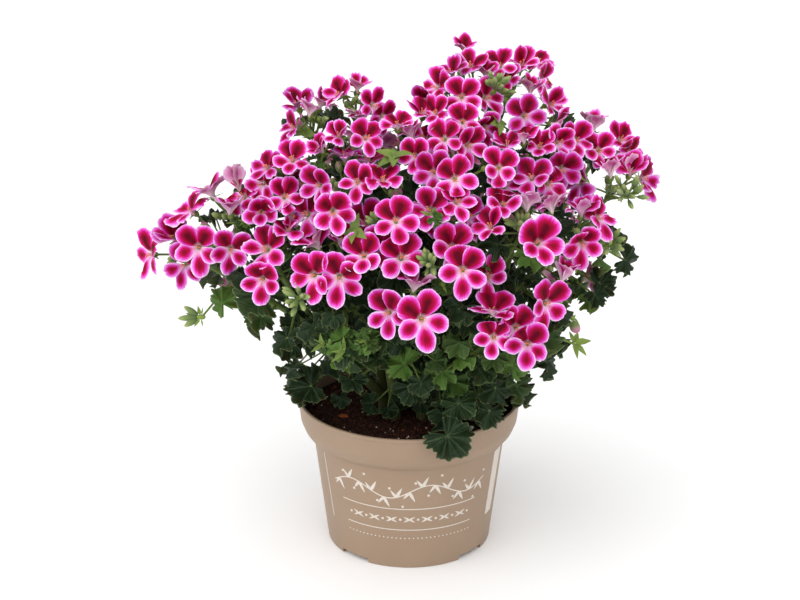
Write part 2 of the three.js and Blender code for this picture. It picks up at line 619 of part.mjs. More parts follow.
// A blade with its stalk as one closed solid: the upper face runs from the hub to the rim, and
// the underside from the rim to the three corners where the stalk begins. A blade with a
// thickness has it along z, and is split alike on both faces.
function bladeSolid(rim, place, { x, y, z, start, hubDepth, thickness, seat }, stalk) {
  const top = rim.map((p) => add(place(p), z, thickness / 2));
  const verts = [add(place([0, 0, hubDepth]), z, thickness / 2), ...top];
  const count = rim.length;
  const under = thickness ? count : 0;
  if (thickness) verts.push(...top.map((p) => add(p, z, -thickness)));
  const faces = rim.map((_, i) => [0, 1 + i, 1 + ((i + 1) % count)]);
  const away = unit(sub(stalk.to, stalk.from));
  const round = (u, v, a) => add(u.map((w) => w * Math.cos(a)), v, Math.sin(a));
  const foot = [0, 1, 2].map((k) => round(x, y, start + (k * 2 * Math.PI) / 3));
  const first = unit(sub(foot[0], away.map((v) => v * dot(foot[0], away))));
  const second = cross(first, away);
  const base = verts.length;
  foot.forEach((d) => verts.push(add(add(stalk.from, z, -seat), d, stalk.radius)));
  [0, 1, 2].forEach((k) =>
    verts.push(add(stalk.to, round(first, second, (k * 2 * Math.PI) / 3), 0.6 * stalk.radius)),
  );
  const owner = rim.map((p) => {
    const a = (Math.atan2(p[1], p[0]) - start + 6 * Math.PI) % (2 * Math.PI);
    return Math.round(a / ((2 * Math.PI) / 3)) % 3;
  });
  rim.forEach((_, i) => {
    const [mine, next] = [owner[i], owner[(i + 1) % count]];
    const [a, b] = [1 + i, 1 + ((i + 1) % count)];
    if (thickness) faces.push([b, a, a + under], [b, a + under, b + under]);
    faces.push([b + under, a + under, base + mine]);
    if (mine !== next) faces.push([b + under, base + mine, base + next]);
  });
  for (let k = 0; k < 3; k += 1) {
    const [a, b] = [base + k, base + ((k + 1) % 3)];
    faces.push([b, a, a + 3], [b, a + 3, b + 3]);
  }
  faces.push([base + 3, base + 5, base + 4]);
  return solidFrom(verts, faces);
}

// Petals of a bloom: [bearing, length, half width, outline points]. The upper two are broad.
const PETALS = [
  [52, 1, 0.4, 4],
  [128, 1, 0.4, 4],
  [205, 0.91, 0.35, 3],
  [270, 1.12, 0.31, 3],
  [335, 0.91, 0.35, 3],
];
const THROAT = 0.17;
const BLOOM_HUB_DEPTH = -0.8;

function bloomRim(reach) {
  return PETALS.flatMap(([bearing, long, half, count], k) => {
    const a = (bearing * Math.PI) / 180;
    const next = PETALS[(k + 1) % PETALS.length][0] + (k === PETALS.length - 1 ? 360 : 0);
    const notch = ((bearing + next) / 2) * (Math.PI / 180);
    const sides = count === 4
      ? [[0.56, -half, 0.07], [0.94, -0.6 * half, 0.1], [0.94, 0.6 * half, 0.1], [0.56, half, 0.07]]
      : [[0.66, -half, 0.05], [1, 0, 0.03], [0.66, half, 0.05]];
    const outline = sides.map(([along, aside, up]) => {
      const [u, v] = [along * long, aside];
      return [u * Math.cos(a) - v * Math.sin(a), u * Math.sin(a) + v * Math.cos(a), up];
    });
    outline.push([THROAT * Math.cos(notch), THROAT * Math.sin(notch), 0]);
    return outline.map((p) => p.map((x) => x * reach));
  });
}

// A leaf's outline: a point at each tooth and between two teeth.
function leafRim(reach) {
  const rim = Array.from({ length: LEAF_POINTS }, (_, i) => {
    const a = LEAF_SPAN * ((2 * i) / (LEAF_POINTS - 1) - 1);
    const tooth = i % 2 ? 0.78 : 1;
    const far = tooth * (0.62 + 0.38 * Math.cos(a / 1.7));
    const lift = (i % 2 ? 1 : -1) * LEAF_RUFFLE * far - 0.1 * far * far;
    return [far * Math.cos(a), far * Math.sin(a), lift];
  });
  rim.push([-LEAF_SINUS, 0, 0]);
  return rim.map((p) => p.map((x) => x * reach));
}

// A sprig of buds: three pointed lobes, [bearing, length, half width].
const SPRIG_LOBES = [[-36, 0.86, 0.12], [0, 1, 0.13], [36, 0.8, 0.12]];
const SPRIG_NOTCH = 18;

function sprigRim(reach) {
  const rim = SPRIG_LOBES.flatMap(([bearing, long, half], k) => {
    const a = (bearing * Math.PI) / 180;
    const outline = [[0.6 * long, -half], [long, 0], [0.6 * long, half]].map(([u, v]) => [
      u * Math.cos(a) - v * Math.sin(a),
      u * Math.sin(a) + v * Math.cos(a),
      0.05 * k,
    ]);
    const notch = a + (SPRIG_NOTCH * Math.PI) / 180;
    return k < 2 ? [...outline, [0.3 * Math.cos(notch), 0.3 * Math.sin(notch), 0]] : outline;
  });
  rim.push([-0.1, 0.1, 0], [-0.1, -0.1, 0]);
  return rim.map((p) => p.map((x) => x * reach));
}

// Puts a point of a blade's own frame in its place, drawn in to its cell.
function placer(index, x, y, z) {
  const { at, reach } = blades[index];
  const walls = wallsOf(index);
  return (p) => {
    const far = add(add(add(at, x, p[0]), y, p[1]), z, p[2]);
    return keepIn(far, at, walls, reach * 1.35);
  };
}

function bloomSolid(bloom) {
  const z = bloom.face;
  const level = unit(cross([0, 0, 1], z));
  const upright = cross(z, level);
  const x = unit(add(level.map((v) => v * Math.cos(bloom.roll)), upright, Math.sin(bloom.roll)));
  const y = cross(z, x);
  const place = placer(bloom.stalk.blade, x, y, z);
  const rim = bloomRim(blades[bloom.stalk.blade].reach);
  const axes = { x, y, z, start: 0.94, hubDepth: BLOOM_HUB_DEPTH, thickness: 0, seat: 0 };
  return bladeSolid(rim, place, axes, bloom.stalk);
}

// A leaf's upper face looks away from its stalk.
function leafFace({ face, stalk }) {
  const away = unit(sub(stalk.to, stalk.from));
  return unit(add(face, away, -Math.max(0, LEAST_TURN + dot(away, face)) / (1 - LEAST_TURN)));
}

function leafSolid(leaf) {
  const z = leafFace(leaf);
  const x = unit(sub(leaf.tip, z.map((v) => v * dot(leaf.tip, z))));
  const y = cross(z, x);
  const place = placer(leaf.stalk.blade, x, y, z);
  const { reach } = blades[leaf.stalk.blade];
  const rim = leaf.sprig ? sprigRim(reach) : leafRim(reach);
  const axes = { x, y, z, start: 0, hubDepth: 0.2, thickness: LEAF_THICKNESS, seat: LEAF_SEAT };
  return bladeSolid(rim, place, axes, leaf.stalk);
}

// A head: its blooms on their stalks, joined at a short collar that sits on the branch's tip.
function headSolid(head) {
  const collar = tube(
    [add(head.umbel, head.along, -UMBEL_RADIUS), add(head.umbel, head.along, UMBEL_RADIUS)],
    [BRANCH_RADIUS, UMBEL_RADIUS],
    COLLAR_SIDES,
  );
  return head.blooms.map(bloomSolid).reduce((all, one) => all.add(one), collar);
}

// A leafy stem: its stem, branches and leaves in one piece.
function stemSolid({ foot, collar, fork, branches, leaves }) {
  const [first, ...others] = branches;
  const radii = [STEM_RADIUS, STEM_RADIUS, STEM_RADIUS * 0.7, BRANCH_RADIUS];
  let solid = tube([foot, collar, fork, first[1]], radii, STEM_SIDES);
  const taper = [BRANCH_RADIUS * 1.3, BRANCH_RADIUS];
  for (const branch of others) solid = solid.add(tube(branch, taper, BRANCH_SIDES));
  for (const leaf of leaves) solid = solid.add(leafSolid(leaf));
  return solid;
}

// The pot: a turned shell with a foot ring, a raised channel with drain holes, and slots
// through the foot ring that let the water out.
function lathe(profile, sides) {
  const curve = profile.map(([r, z]) => new THREE.Vector2(r, z));
  const turned = new THREE.LatheGeometry(curve, sides);
  turned.deleteAttribute("normal");
  turned.deleteAttribute("uv");
  turned.rotateX(Math.PI / 2);
  const solid = solidOf(turned);
  return solid;
}

function potSolid() {
  const outside = [
    [0, 0], [39, 0], [41, FLOOR_RAISE], [55, FLOOR_RAISE], [57, 0], [FOOT_RADIUS, 0],
    [BODY_TOP_RADIUS, BAND_FOOT_Z - 1], [76, BAND_FOOT_Z + 0.6], [80.2, 92.6], [83.2, 100],
    [RIM_RADIUS, 112], [RIM_RADIUS, POT_HEIGHT - 0.6], [RIM_RADIUS - 1, POT_HEIGHT],
  ];
  const inside = [
    [RIM_RADIUS - 2, POT_HEIGHT - 0.6], [83.2 - WALL, 100], [78.6, 93.6],
    [BODY_TOP_RADIUS - WALL, BAND_FOOT_Z], [FOOT_RADIUS - WALL + 0.6, 6],
    [39.6, 6], [38, 2], [0, 2],
  ];
  let pot = lathe([...outside, ...inside], POT_SIDES);
  for (let k = 0; k < DRAIN_HOLES; k += 1) {
    const a = ((k + 0.5) * 2 * Math.PI) / DRAIN_HOLES;
    const hole = new THREE.CylinderGeometry(DRAIN_RADIUS, DRAIN_RADIUS, 8, 6);
    hole.rotateX(Math.PI / 2).translate(48 * Math.cos(a), 48 * Math.sin(a), 5);
    pot = pot.subtract(closed(hole));
  }
  for (let k = 0; k < FOOT_SLOTS; k += 1) {
    const b = ((k + SLOT_TURN) * 2 * Math.PI) / FOOT_SLOTS;
    const slot = new THREE.BoxGeometry(12, SLOT_WIDTH, 2 * FLOOR_RAISE);
    slot.translate(61.5, 0, 0).rotateZ(b);
    pot = pot.subtract(closed(slot));
  }
  return pot;
}

function closed(geometry) {
  geometry.deleteAttribute("normal");
  geometry.deleteAttribute("uv");
  return solidOf(geometry);
}

// The soil: it fills the pot up to its level, with a lumpy top and a plain hole for each stem.
function soilSolid() {
  const sides = POT_SIDES / 2;
  const rings = [[71.6, 87.4], [77.8, 93.8], [81.2, 100], [81.4, SOIL_LEVEL - 1]];
  const top = [[62, SOIL_LEVEL], [34, SOIL_LEVEL + 1.5], [0, SOIL_LEVEL + 2]];
  const profile = [[0, 6.4], [61, 6.4], ...rings, ...top];
  let soil = lathe(profile, sides);
  for (const stem of stems) {
    const low = add(stem.foot, [0, 0, -SEAT_GAP]);
    const wide = STEM_RADIUS + SEAT_GAP;
    soil = soil.subtract(tube([low, stem.collar], [wide, wide], STEM_SIDES));
  }
  return soil;
}

const finish = {
  pot: new THREE.MeshStandardMaterial({ color: COLOURS.pot, roughness: 0.6, metalness: 0 }),
  soil: new THREE.MeshStandardMaterial({ color: COLOURS.soil, roughness: 1, metalness: 0 }),
  stem: new THREE.MeshStandardMaterial({ color: COLOURS.stem, roughness: 0.7, metalness: 0 }),
  bloom: new THREE.MeshStandardMaterial({ color: COLOURS.bloom, roughness: 0.5, metalness: 0 }),
};

const plant = new THREE.Group();

function show(name, solid, material) {
  const mesh = new THREE.Mesh(geometryOf(solid), material);
  mesh.name = name;
  plant.add(mesh);
}

show("pot", potSolid(), finish.pot);
show("soil", soilSolid(), finish.soil);
for (const stem of stems) show(stem.name, stemSolid(stem), finish.stem);
for (const [name, head] of Object.entries(heads)) show("head_" + name, headSolid(head), finish.bloom);

export default plant;
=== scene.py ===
"""A potted angel pelargonium in bloom, dressed around its solids.

The plant is laid out as its solids are, from the same driving sizes and tables, in millimetres.
Each head, leafy stem, the soil and the pot then gets finer pieces in the same place.
"""

import math

import bpy
import numpy as np
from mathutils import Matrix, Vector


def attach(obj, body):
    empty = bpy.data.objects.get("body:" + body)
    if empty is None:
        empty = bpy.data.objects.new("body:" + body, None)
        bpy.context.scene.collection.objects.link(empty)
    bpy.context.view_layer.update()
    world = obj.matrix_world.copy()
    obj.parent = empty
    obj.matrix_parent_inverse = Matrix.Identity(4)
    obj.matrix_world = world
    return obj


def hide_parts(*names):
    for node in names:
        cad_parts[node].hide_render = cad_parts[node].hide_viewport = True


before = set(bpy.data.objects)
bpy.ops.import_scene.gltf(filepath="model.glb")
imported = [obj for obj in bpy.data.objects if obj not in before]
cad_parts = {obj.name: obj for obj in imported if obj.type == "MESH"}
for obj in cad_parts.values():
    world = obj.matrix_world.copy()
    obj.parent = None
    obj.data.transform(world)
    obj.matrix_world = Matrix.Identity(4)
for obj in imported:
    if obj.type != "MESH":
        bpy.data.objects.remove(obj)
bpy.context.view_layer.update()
MM = 0.001

# Driving sizes of the pot and the soil, in millimetres.
POT_HEIGHT = 117.5
RIM_RADIUS = 85
RIM_STICKS = 24
RIM_STICK_RADIUS = 2.4
BAND_FOOT_Z = 88
BAND_RADIUS = 83.2
BAND_MIDDLE_Z = 100
BODY_TOP_RADIUS = 73.6
FOOT_RADIUS = 63
WALL = 1.4
FLOOR_RAISE = 4
POT_SIDES = 156
POT_CORNER = 1.1
DRAIN_HOLES = 6
DRAIN_RADIUS = 4
DRAIN_FROM_AXIS = 48
FOOT_SLOTS = 4
SLOT_TURN = 0.54
SLOT_WIDTH = 26
SLOT_FROM_AXIS = (55.5, 67.5)
SOIL_LEVEL = 103
SOIL_SIDES = 120
SEAT_GAP = 0.35

# Driving sizes of the blooms and their stalks.
BLOOM_REACH = 19.5
# A bloom has at least this share of that reach, and the growth as far as its draw says.
BLOOM_SIZE = {"least": 0.8, "growth": 0.16}
# Blooms shrink by this share from one height to another, so that the top ones are the smallest.
TOP_SHRINK = {"share": 0.2, "from": 270, "to": 340}
# Blooms that stand out of the mound are wide open, and larger by a share for each millimetre.
OPEN_SIZE = {"least": 0.92, "growth": 0.02}
# The others spread this much wider than their solids.
BLOOM_SPREAD = 1.07
# How far blooms roll about their own axes, in radians, and the room that a petal needs.
BLOOM_ROLL = 0.5
BLOOM_ROOM = 17
# How far a bloom nods to its own side, and how much further up and back the high ones look.
NOD = 0.3
HIGH_TILT = 0.55
HIGH_TURN = 0.32
# A bloom this far behind the mound's surface is one of the innermost.
INNERMOST = 16
CALYX_DEPTH = 4.5
PEDICEL_RADIUS = 0.9
UMBEL_DROP = 25
UMBEL_RADIUS = 3

# Driving sizes of the stems, and of the leaves on their stalks.
STEM_RADIUS = 4.2
STEM_DEPTH = 22
COLLAR_RISE = 12
CROWN_RADIUS = 20
# Branches leave the upper part of their stem, over this share of it.
FORK_SPREAD = 0.6
BRANCH_RADIUS = 1.8
LEAF_REACH = 18.5
LEAF_TRIES = 1500
LEAF_ROOM = 29
LEAF_STICK_ROOM = 6
# How far a leaf turns off its own stalk at least.
LEAST_TURN = 0.35
# Leaf stalks, how far below the leaf they aim, and the way that they keep from other stems
# and from the middles of blades.
PETIOLE_RADIUS = 1
PETIOLE_DROP = 12
PETIOLE_ROOM = 2.4
PETIOLE_BLADE_ROOM = 8
LONGEST_PETIOLE = 66
JOINT_RISE = 8
SKIRT_LEAVES = 27
SKIRT_FOOT = 120
SKIRT_HEIGHT = 165
# The skirt's half widths at its foot, and how much they grow with each millimetre of its climb.
SKIRT_ACROSS = (90, 0.8)
SKIRT_DEEP = (88, 0.4)
SKIRT_CLIMB = 84
# A skirt leaf is young if its draw is above this. The others here are a least value and how
# much it grows: how leaves bunch up low, how far out they are, how they lean and their size.
SKIRT_YOUNG = 0.97
SKIRT_BUNCH = (0.45, 0.55)
SKIRT_OUTWARD = (0.66, 0.34)
SKIRT_LEAN = (0.3, 0.9)
SKIRT_SIZE = (0.75, 0.4)
# Where the skirt stays open: over the soil in front, and low at the far left.
OPEN_SOIL = {"left": -75, "right": 20, "forward": 40, "height": 150}
OPEN_SIDE = {"left": -100, "height": 172}
# Steps in height and bearing that spread the skirt's leaves evenly.
HEIGHT_STEP = 0.7548777
GOLDEN = math.pi * (3 - math.sqrt(5))

# Each bloom and leaf has a cell with flat walls half way to its neighbours. It bends in before
# them, from a share of the way out, and may pass them by its ease.
CELL_GAP = 0.45
CELL_NEAR = 12
CELL_LEAST = 0.5
CELL_LIMIT = 1.35
FREE_SHARE = 0.72
LEAF_EASE = 1.12
BLOOM_EASE = 1.5
# Petals that reach over a neighbour are lifted by this much, over this far past the wall.
OVERLAP_LIFT = 3.4
OVERLAP_RUN = 6

# Small leaves that fill the mound from inside.
FILLER_LEAVES = 620
FILLER_TRIES = 30000
FILLER_FOOT = 114
FILLER_TOP = 340
FILLER_WIDE = (78, 150)
FILLER_REACH = (8, 14)
FILLER_GAP = (7, 44)
FILLER_ROOM = 10
FILLER_ROUND = (1, 0.86, 1)
# How much further off a joint near the soil counts, and where leaves would hang over the rim.
LOW_JOINT = 60
OVER_RIM = {"height": POT_HEIGHT + 8, "from_axis": RIM_RADIUS - 14}
# Some of the outermost ones are young.
YOUNG_FILLER = {"chance": 0.16, "from": 0.8}
# The room that a bloom's face takes: to its sides, behind it and before it.
FACE_ROOM = {"aside": 20, "behind": 9, "before": 40}
# Blooms that a small leaf may not grow through: how far aside, and how near and far behind them.
COVER = {"aside": 34, "near": 8, "far": 30, "gap": 4}
# Places of the front view, in pixels, where soil or the white behind the plant stays open.
CLEARINGS = [
    (305, 392, 440, 445), (236, 285, 292, 345), (535, 250, 562, 276), (594, 186, 618, 240),
    (225, 330, 284, 400), (297, 342, 324, 366), (316, 366, 398, 402), (562, 84, 604, 128),
]
# Dark leaves that hang just over the open soil: (across, down, forward, reach).
LOW_LEAVES = [
    (373, 403, 4, 10), (341, 398, 2, 8), (401, 400, 4, 10), (421, 402, 6, 10), (388, 408, 8, 8),
]

# The front view in which the blooms were measured: a pinhole view of 800 by 600 that looks
# down at the pot's axis.
PITCH = math.radians(21.2)
DISTANCE = 1500
FOCAL_PX = 1989
AIM_HEIGHT = 194
AXIS_ACROSS_PX = 409.2
MIDDLE_DOWN_PX = 300
FRAME_WIDTH_PX = 800
MOUND = {"up": 34, "forward": 13, "across": 190, "rise": 160, "depth": 118}

# Heads of the front and top. A bloom is (across, down, set back, turned right, turned up):
# where its throat stands in the front view, how many millimetres it sits behind the mound's
# surface, and which way it faces, where 0, 0 looks at the viewer.
FRONT_HEADS = {
    "west_tip": [(151, 254, 0, -0.9, 0.1), (184, 265, 0, -0.5, -0.4), (174, 238, 6, -0.7, 0.6)],
    "west_low": [(198, 247, 0, -0.3, 0.1), (230, 249, 0, 0, 0), (191, 212, 5, -1.2, 0.5)],
    "west_high": [(211, 194, 5, -0.5, 1), (229, 211, 0, -0.2, 1.1), (238, 187, 14, -0.4, 1)],
    "west_front": [(262, 279, 0, -0.1, 0), (266, 249, 4, -0.2, 0.2), (287, 231, 12, 0.3, 1)],
    "north_west": [(267, 168, 0, -0.7, 0.4), (292, 160, 0, -0.2, 0.3), (262, 184, 8, -0.9, 0)],
    "west_mid": [(261, 211, 0, -0.2, 0.1), (284, 197, 2, 0.1, 0.2), (243, 197, 14, -0.7, 0.3),
                 (298, 181, 16, 0.6, 0), (289, 213, 12, 0.5, -0.2)],
    "west_crown": [(294, 128, 0, -0.9, 0.5), (309, 113, 0, -0.2, 1), (320, 105, 8, 0.6, 1.1),
                   (297, 106, 14, -0.6, 1.2)],
    "north_left": [(340, 95, 0, -1, 0.3), (357, 89, 0, 0.2, 1), (372, 105, 0, 0.9, 0.2),
                   (382, 116, 8, 1, -0.2)],
    "upper_left": [(338, 137, 0, -0.2, 0.6), (365, 138, 0, 0.1, 0.2), (361, 119, 10, 0, 1.1),
                   (321, 151, 4, -0.3, 0.6)],
    "mid_left": [(319, 185, 0, -0.2, 0.2), (357, 182, 0, 0, 0.1), (344, 158, 10, -0.1, 1)],
    "centre_left": [(332, 211, -4, 0, 0.1), (306, 214, 14, -0.4, 0.1), (339, 241, 20, 0.1, 0.3)],
    "front_left": [(313, 275, -2, -0.1, 0.1), (339, 277, 0, 0.2, 0), (317, 246, 10, -0.1, 0.9)],
    "centre": [(363, 256, 0, -0.3, 0.2), (382, 247, 8, 0, -0.2), (401, 258, 0, 0.2, 0),
               (366, 223, 18, -0.5, 0.2)],
    "centre_up": [(382, 181, 0, 0.1, 0.5), (395, 221, -4, 0, 0.1), (415, 222, 10, 0.5, 0.2),
                  (415, 156, 4, -0.2, 0.3)],
    "north_mid": [(397, 126, 0, 0, 0.8), (411, 137, 10, -0.2, 1), (421, 114, 10, -0.2, 0.7)],
    "crown_left": [(452, 74, 0, -0.2, 1), (437, 87, 2, -0.7, 0.5), (461, 97, -6, 0, 0.2),
                   (429, 98, 14, -1, 0.2), (435, 113, 6, -0.7, 0.3)],
    "crown_mid": [(462, 122, -2, 0.1, 0.1), (444, 139, 0, -0.2, 0.1), (467, 145, 4, 0.3, -0.1),
                  (483, 126, 8, 0.6, -0.1), (424, 139, 14, -0.5, 0.4)],
    "crown_top": [(471, 67, 0, -0.2, 0.6), (464, 51, 16, -0.4, 1.2), (485, 75, 4, 0.2, 1),
                  (485, 98, 8, 0.5, 0.1)],
    "peak": [(500, 66, 0, -0.1, 0.5), (522, 65, 0, 0.2, 0.8), (537, 63, 10, 0.7, 0.5),
             (542, 80, 0, 1, 0), (508, 79, 18, -0.3, 0.2)],
    "peak_front": [(530, 92, 0, 0.3, 1), (524, 116, -8, 0, 0), (549, 104, 0, 0.9, 0.3),
                   (554, 125, 10, 1, -0.3)],
    "right_top": [(506, 146, 2, -0.1, 0.5), (523, 140, 0, 0, 0.7), (539, 147, 2, 0.2, 0.6),
                  (557, 142, 0, 0.2, 0.2), (575, 140, 4, 0.3, 0.2)],
    "centre_right": [(454, 179, -6, 0, 0), (433, 172, 0, -0.5, 0.1), (452, 151, 10, 0, 1)],
    "centre_mid": [(456, 202, 0, 0.1, 0.2), (429, 209, 2, -0.3, 0.3), (467, 217, 14, 0.3, -0.1)],
    "centre_low": [(462, 270, -4, 0.1, 0), (451, 247, 6, -0.2, 0.3), (487, 276, 26, 0.6, 0)],
    "right_mid": [(498, 168, 0, -0.2, 0.1), (503, 186, 10, 0, 0.4), (531, 178, 0, 0, 0.3),
                  (547, 184, 8, 0.2, 0), (561, 168, 6, 0.5, -0.1)],
    "right_front": [(537, 243, -10, 0, 0), (490, 227, 0, -0.2, 0.4), (502, 205, 8, -0.1, 0.2),
                    (526, 207, 8, 0, 1), (551, 209, 10, 0.1, 1)],
    "east_mid": [(581, 213, 0, 0.2, 0.9), (597, 218, 0, 0.7, 0.3), (581, 242, 0, 0.2, -0.1)],
    "east_top": [(593, 129, 10, -0.1, 1), (598, 150, 0, 0, 0.1), (620, 140, 0, 0.6, 0.3),
                 (629, 153, 0, 0.9, 0)],
    "east_tip": [(610, 174, 0, -0.2, 1.1), (630, 173, 0, 0.3, 0.8), (642, 178, 0, 1, 0.3),
                 (580, 182, 24, -0.5, 0.3)],
    "front_centre": [(421, 319, -8, 0.1, 0), (413, 287, 8, 0.1, 0.9), (388, 312, 0, -0.2, 0.1)],
    "front_right": [(515, 327, 6, -0.1, 0.2), (527, 344, -4, 0, 0), (493, 337, 4, -0.1, 0.1),
                    (492, 312, 12, -0.3, 0.5)],
    "right_low": [(545, 303, 0, 0.2, 0.1), (562, 279, 6, 0.3, 1)],
}

# Heads of the back, each placed on the mound by its bearing round the pot (90 is straight
# back), its height above the horizon seen from the mound's middle, and its number of blooms.
BACK_HEADS = {
    "back_1": (22, 12, 3),
    "back_2": (50, 2, 4),
    "back_3": (84, 6, 3),
    "back_4": (118, 2, 4),
    "back_5": (156, 12, 3),
    "back_6": (34, 36, 4),
    "back_7": (66, 32, 4),
    "back_8": (102, 32, 3),
    "back_9": (140, 36, 4),
    "back_10": (64, 56, 4),
    "back_11": (122, 60, 4),
    "back_12": (20, 76, 3),
    "back_13": (152, 78, 3),
}
# The middle and half sizes of the mound that they stand on. The middle bloom of a head stands
# a little out of it; the others spread out, sway, and stand up to a depth inside it.
BACK_MIDDLE = (0, 0, 204)
BACK_REACH = (142, 130, 110)
BACK_BLOOM = {"out": 4, "spread": 29, "sway": 6, "depth": 9, "lean": 0.5, "up": 0.25,
              "rise": 0.3}

# Leafy stems, each with its bearing round the crown and the heads that it carries.
STEMS = {
    "stem_west": (188, ["west_tip", "west_low", "west_high", "west_front"]),
    "stem_north_west": (160, ["north_west", "west_mid", "west_crown", "north_left", "upper_left",
                              "mid_left"]),
    "stem_front_left": (238, ["centre_left", "front_left", "centre", "front_centre", "centre_up"]),
    "stem_crown": (60, ["north_mid", "crown_left", "crown_mid", "crown_top", "peak", "peak_front",
                        "back_12"]),
    "stem_front_right": (298, ["centre_right", "centre_mid", "centre_low", "right_front",
                               "front_right", "right_low"]),
    "stem_east": (350, ["right_top", "right_mid", "east_mid", "east_top", "east_tip"]),
    "stem_back_right": (35, ["back_6", "back_1", "back_2", "back_7", "back_10"]),
    "stem_back_left": (115, ["back_8", "back_3", "back_4", "back_5", "back_9", "back_11",
                             "back_13"]),
}

# Leaves and sprigs of buds that stand out in the front view: (across, down, how far forward of
# the axis, reach in millimetres, which way the tip points in the view in degrees, turned right,
# turned up).
FRONT_LEAVES = [
    (311, 386, 30, 19, 185, -0.3, 0.3),
    (292, 345, 20, 13, 260, -0.4, 0.2),
    (299, 324, 42, 14, 240, -0.3, 0.3),
    (261, 317, 34, 13, 262, -0.3, 0.5),
    (222, 303, 42, 15, 120, -0.3, 0.1),
    (345, 355, 80, 14, 225, -0.2, 0.6),
    (352, 380, 48, 11, 300, 0, 0.5),
    (404, 364, 76, 14, 160, -0.2, 0.7),
    (412, 386, 50, 15, 250, -0.1, 0.6),
    (447, 436, 62, 20, 318, 0.1, 0.3),
    (458, 403, 60, 16, 262, 0, 0.5),
    (495, 388, 56, 17, 265, 0.1, 0.5),
    (489, 411, 50, 14, 255, 0.3, 0.2),
    (441, 371, 74, 13, 215, -0.1, 0.8),
    (458, 358, 90, 13, 30, 0.2, 0.8),
    (512, 366, 68, 15, 60, 0.2, 0.7),
    (516, 386, 42, 13, 320, 0.4, 0.5),
    (546, 362, 48, 15, 320, 0.4, 0.5),
    (573, 343, 46, 14, 350, 0.5, 0.4),
    (625, 260, 20, 13, 345, 0.3, 0.2),
    (599, 284, 26, 14, 5, 0.3, 0.2),
    (594, 294, 36, 11, 320, 0.3, 0.1),
    (576, 262, 50, 13, 150, 0, 0.2),
    (330, 315, 70, 14, 200, -0.2, 0.5),
    (372, 338, 84, 14, 300, 0, 0.6),
    (466, 322, 96, 14, 20, 0, 0.5),
]
YOUNG_LEAVES = (4, 5, 7, 13, 14, 15, 18, 22)
# Young leaves that are a fan of small oval ones: which rows, and (bearing in degrees, length and
# width as shares of the reach) of each.
OVAL_LEAVES = (18, 22)
OVALS = [(-64, 0.8, 0.5), (-18, 1.0, 0.56), (26, 1.1, 0.58), (70, 0.8, 0.5), (118, 0.6, 0.4)]
FRONT_SPRIGS = [
    (201, 317, 36, 18, 178, -0.2, 0.1),
    (603, 250, 62, 13, 60, 0.3, 0.3),
    (572, 318, 56, 12, 350, 0.5, 0.3),
    (505, 100, 26, 13, 80, 0, 0.6),
    (440, 226, 92, 13, 100, 0, 0.6),
]
PINK_SPRIG = 2
# Buds of a sprig: (bearing in degrees, length as a share of its reach), and its leaves, with
# their width too.
SPRIG_BUDS = [(-31, 0.84), (1, 1.04), (29, 0.74)]
PINK_BUD = (-50, 1.05)
SPRIG_LEAVES = [
    (-62, 0.42, 0.24), (-14, 0.66, 0.3), (15, 0.6, 0.28), (60, 0.4, 0.22), (95, 0.3, 0.12),
    (-100, 0.32, 0.12),
]

# Tufts of green between the heads, as (across, down, set back, reach, what it is of).
TUFTS = [
    (626, 196, 0, 17, "buds"), (349, 107, 10, 13, "buds"), (319, 118, 8, 8, "buds"),
    (303, 133, 8, 12, "bracts"), (313, 164, 6, 11, "leaves"), (288, 181, 10, 9, "leaves"),
    (394, 158, 0, 15, "bracts"), (368, 146, 12, 10, "bracts"), (494, 91, 0, 14, "buds"),
    (498, 124, 2, 12, "bracts"), (484, 168, 4, 12, "bracts"), (531, 160, 12, 10, "leaves"),
    (576, 174, 14, 12, "bracts"), (446, 213, 4, 10, "buds"), (354, 231, 2, 12, "bracts"),
    (430, 216, 0, 12, "leaves"), (430, 265, 4, 11, "buds"), (300, 298, 0, 13, "buds"),
    (378, 226, 10, 8, "buds"), (442, 284, 10, 10, "leaves"), (545, 262, 20, 10, "buds"),
    (470, 236, 16, 12, "leaves"), (520, 226, 10, 10, "buds"), (343, 349, 0, 18, "leaves"),
    (488, 262, 26, 10, "leaves"), (608, 246, 6, 12, "buds"), (560, 300, 18, 10, "leaves"),
    (244, 222, 12, 10, "leaves"), (281, 252, 16, 10, "leaves"), (322, 343, 6, 15, "leaves"),
    (364, 341, 4, 14, "leaves"),
]

# Petals of a bloom: (bearing in degrees, length, half width, whether it is one of the upper two).
PETALS = [
    (55, 1.0, 0.45, True),
    (125, 1.0, 0.45, True),
    (206, 0.91, 0.34, False),
    (270, 1.12, 0.33, False),
    (334, 0.91, 0.34, False),
]
# How far along a petal its widest place is, and how much narrower its foot gets.
PETAL_HEART = 0.58
PETAL_NARROWING = 0.62
PETAL_POINTS = 20
PETAL_RINGS = (1.0, 0.86, 0.6, 0.3)
PETAL_THICKNESS = 0.32
PETAL_KINDS = 5
# The funnel that the petals rise out of, as shares of a bloom's reach.
THROAT_DEPTH = 0.19
THROAT_RADIUS = 0.085
# The ranges that a bloom draws how far it is closed from, in radians: all blooms, one that looks
# up, and one that is just opening, with the chance of that.
CUPPED = (0, 0.22)
CUPPED_HIGH = (0.3, 0.95)
CUPPED_YOUNG = (0.2, 0.5)
YOUNG_CHANCE = {"least": 0.2, "inner": 0.3}
# The ranges that a petal draws its own shape from.
PETAL_DRAWS = {
    "folded": (0.25, 0.7),
    "closed": (0.6, 1.25),
    "bend": (0.4, 1.2),
    "own_bend": (-0.15, 0.3),
    "cup": (-0.3, 0.2),
    "twist": (-0.2, 0.2),
    "waves": (2.6, 4),
    "ruffle": (0.025, 0.07),
    "bearing": (-9, 9),
    "length": (0.93, 1.04),
    "width": (0.9, 1.06),
}
FOLDED_CHANCE = 0.16
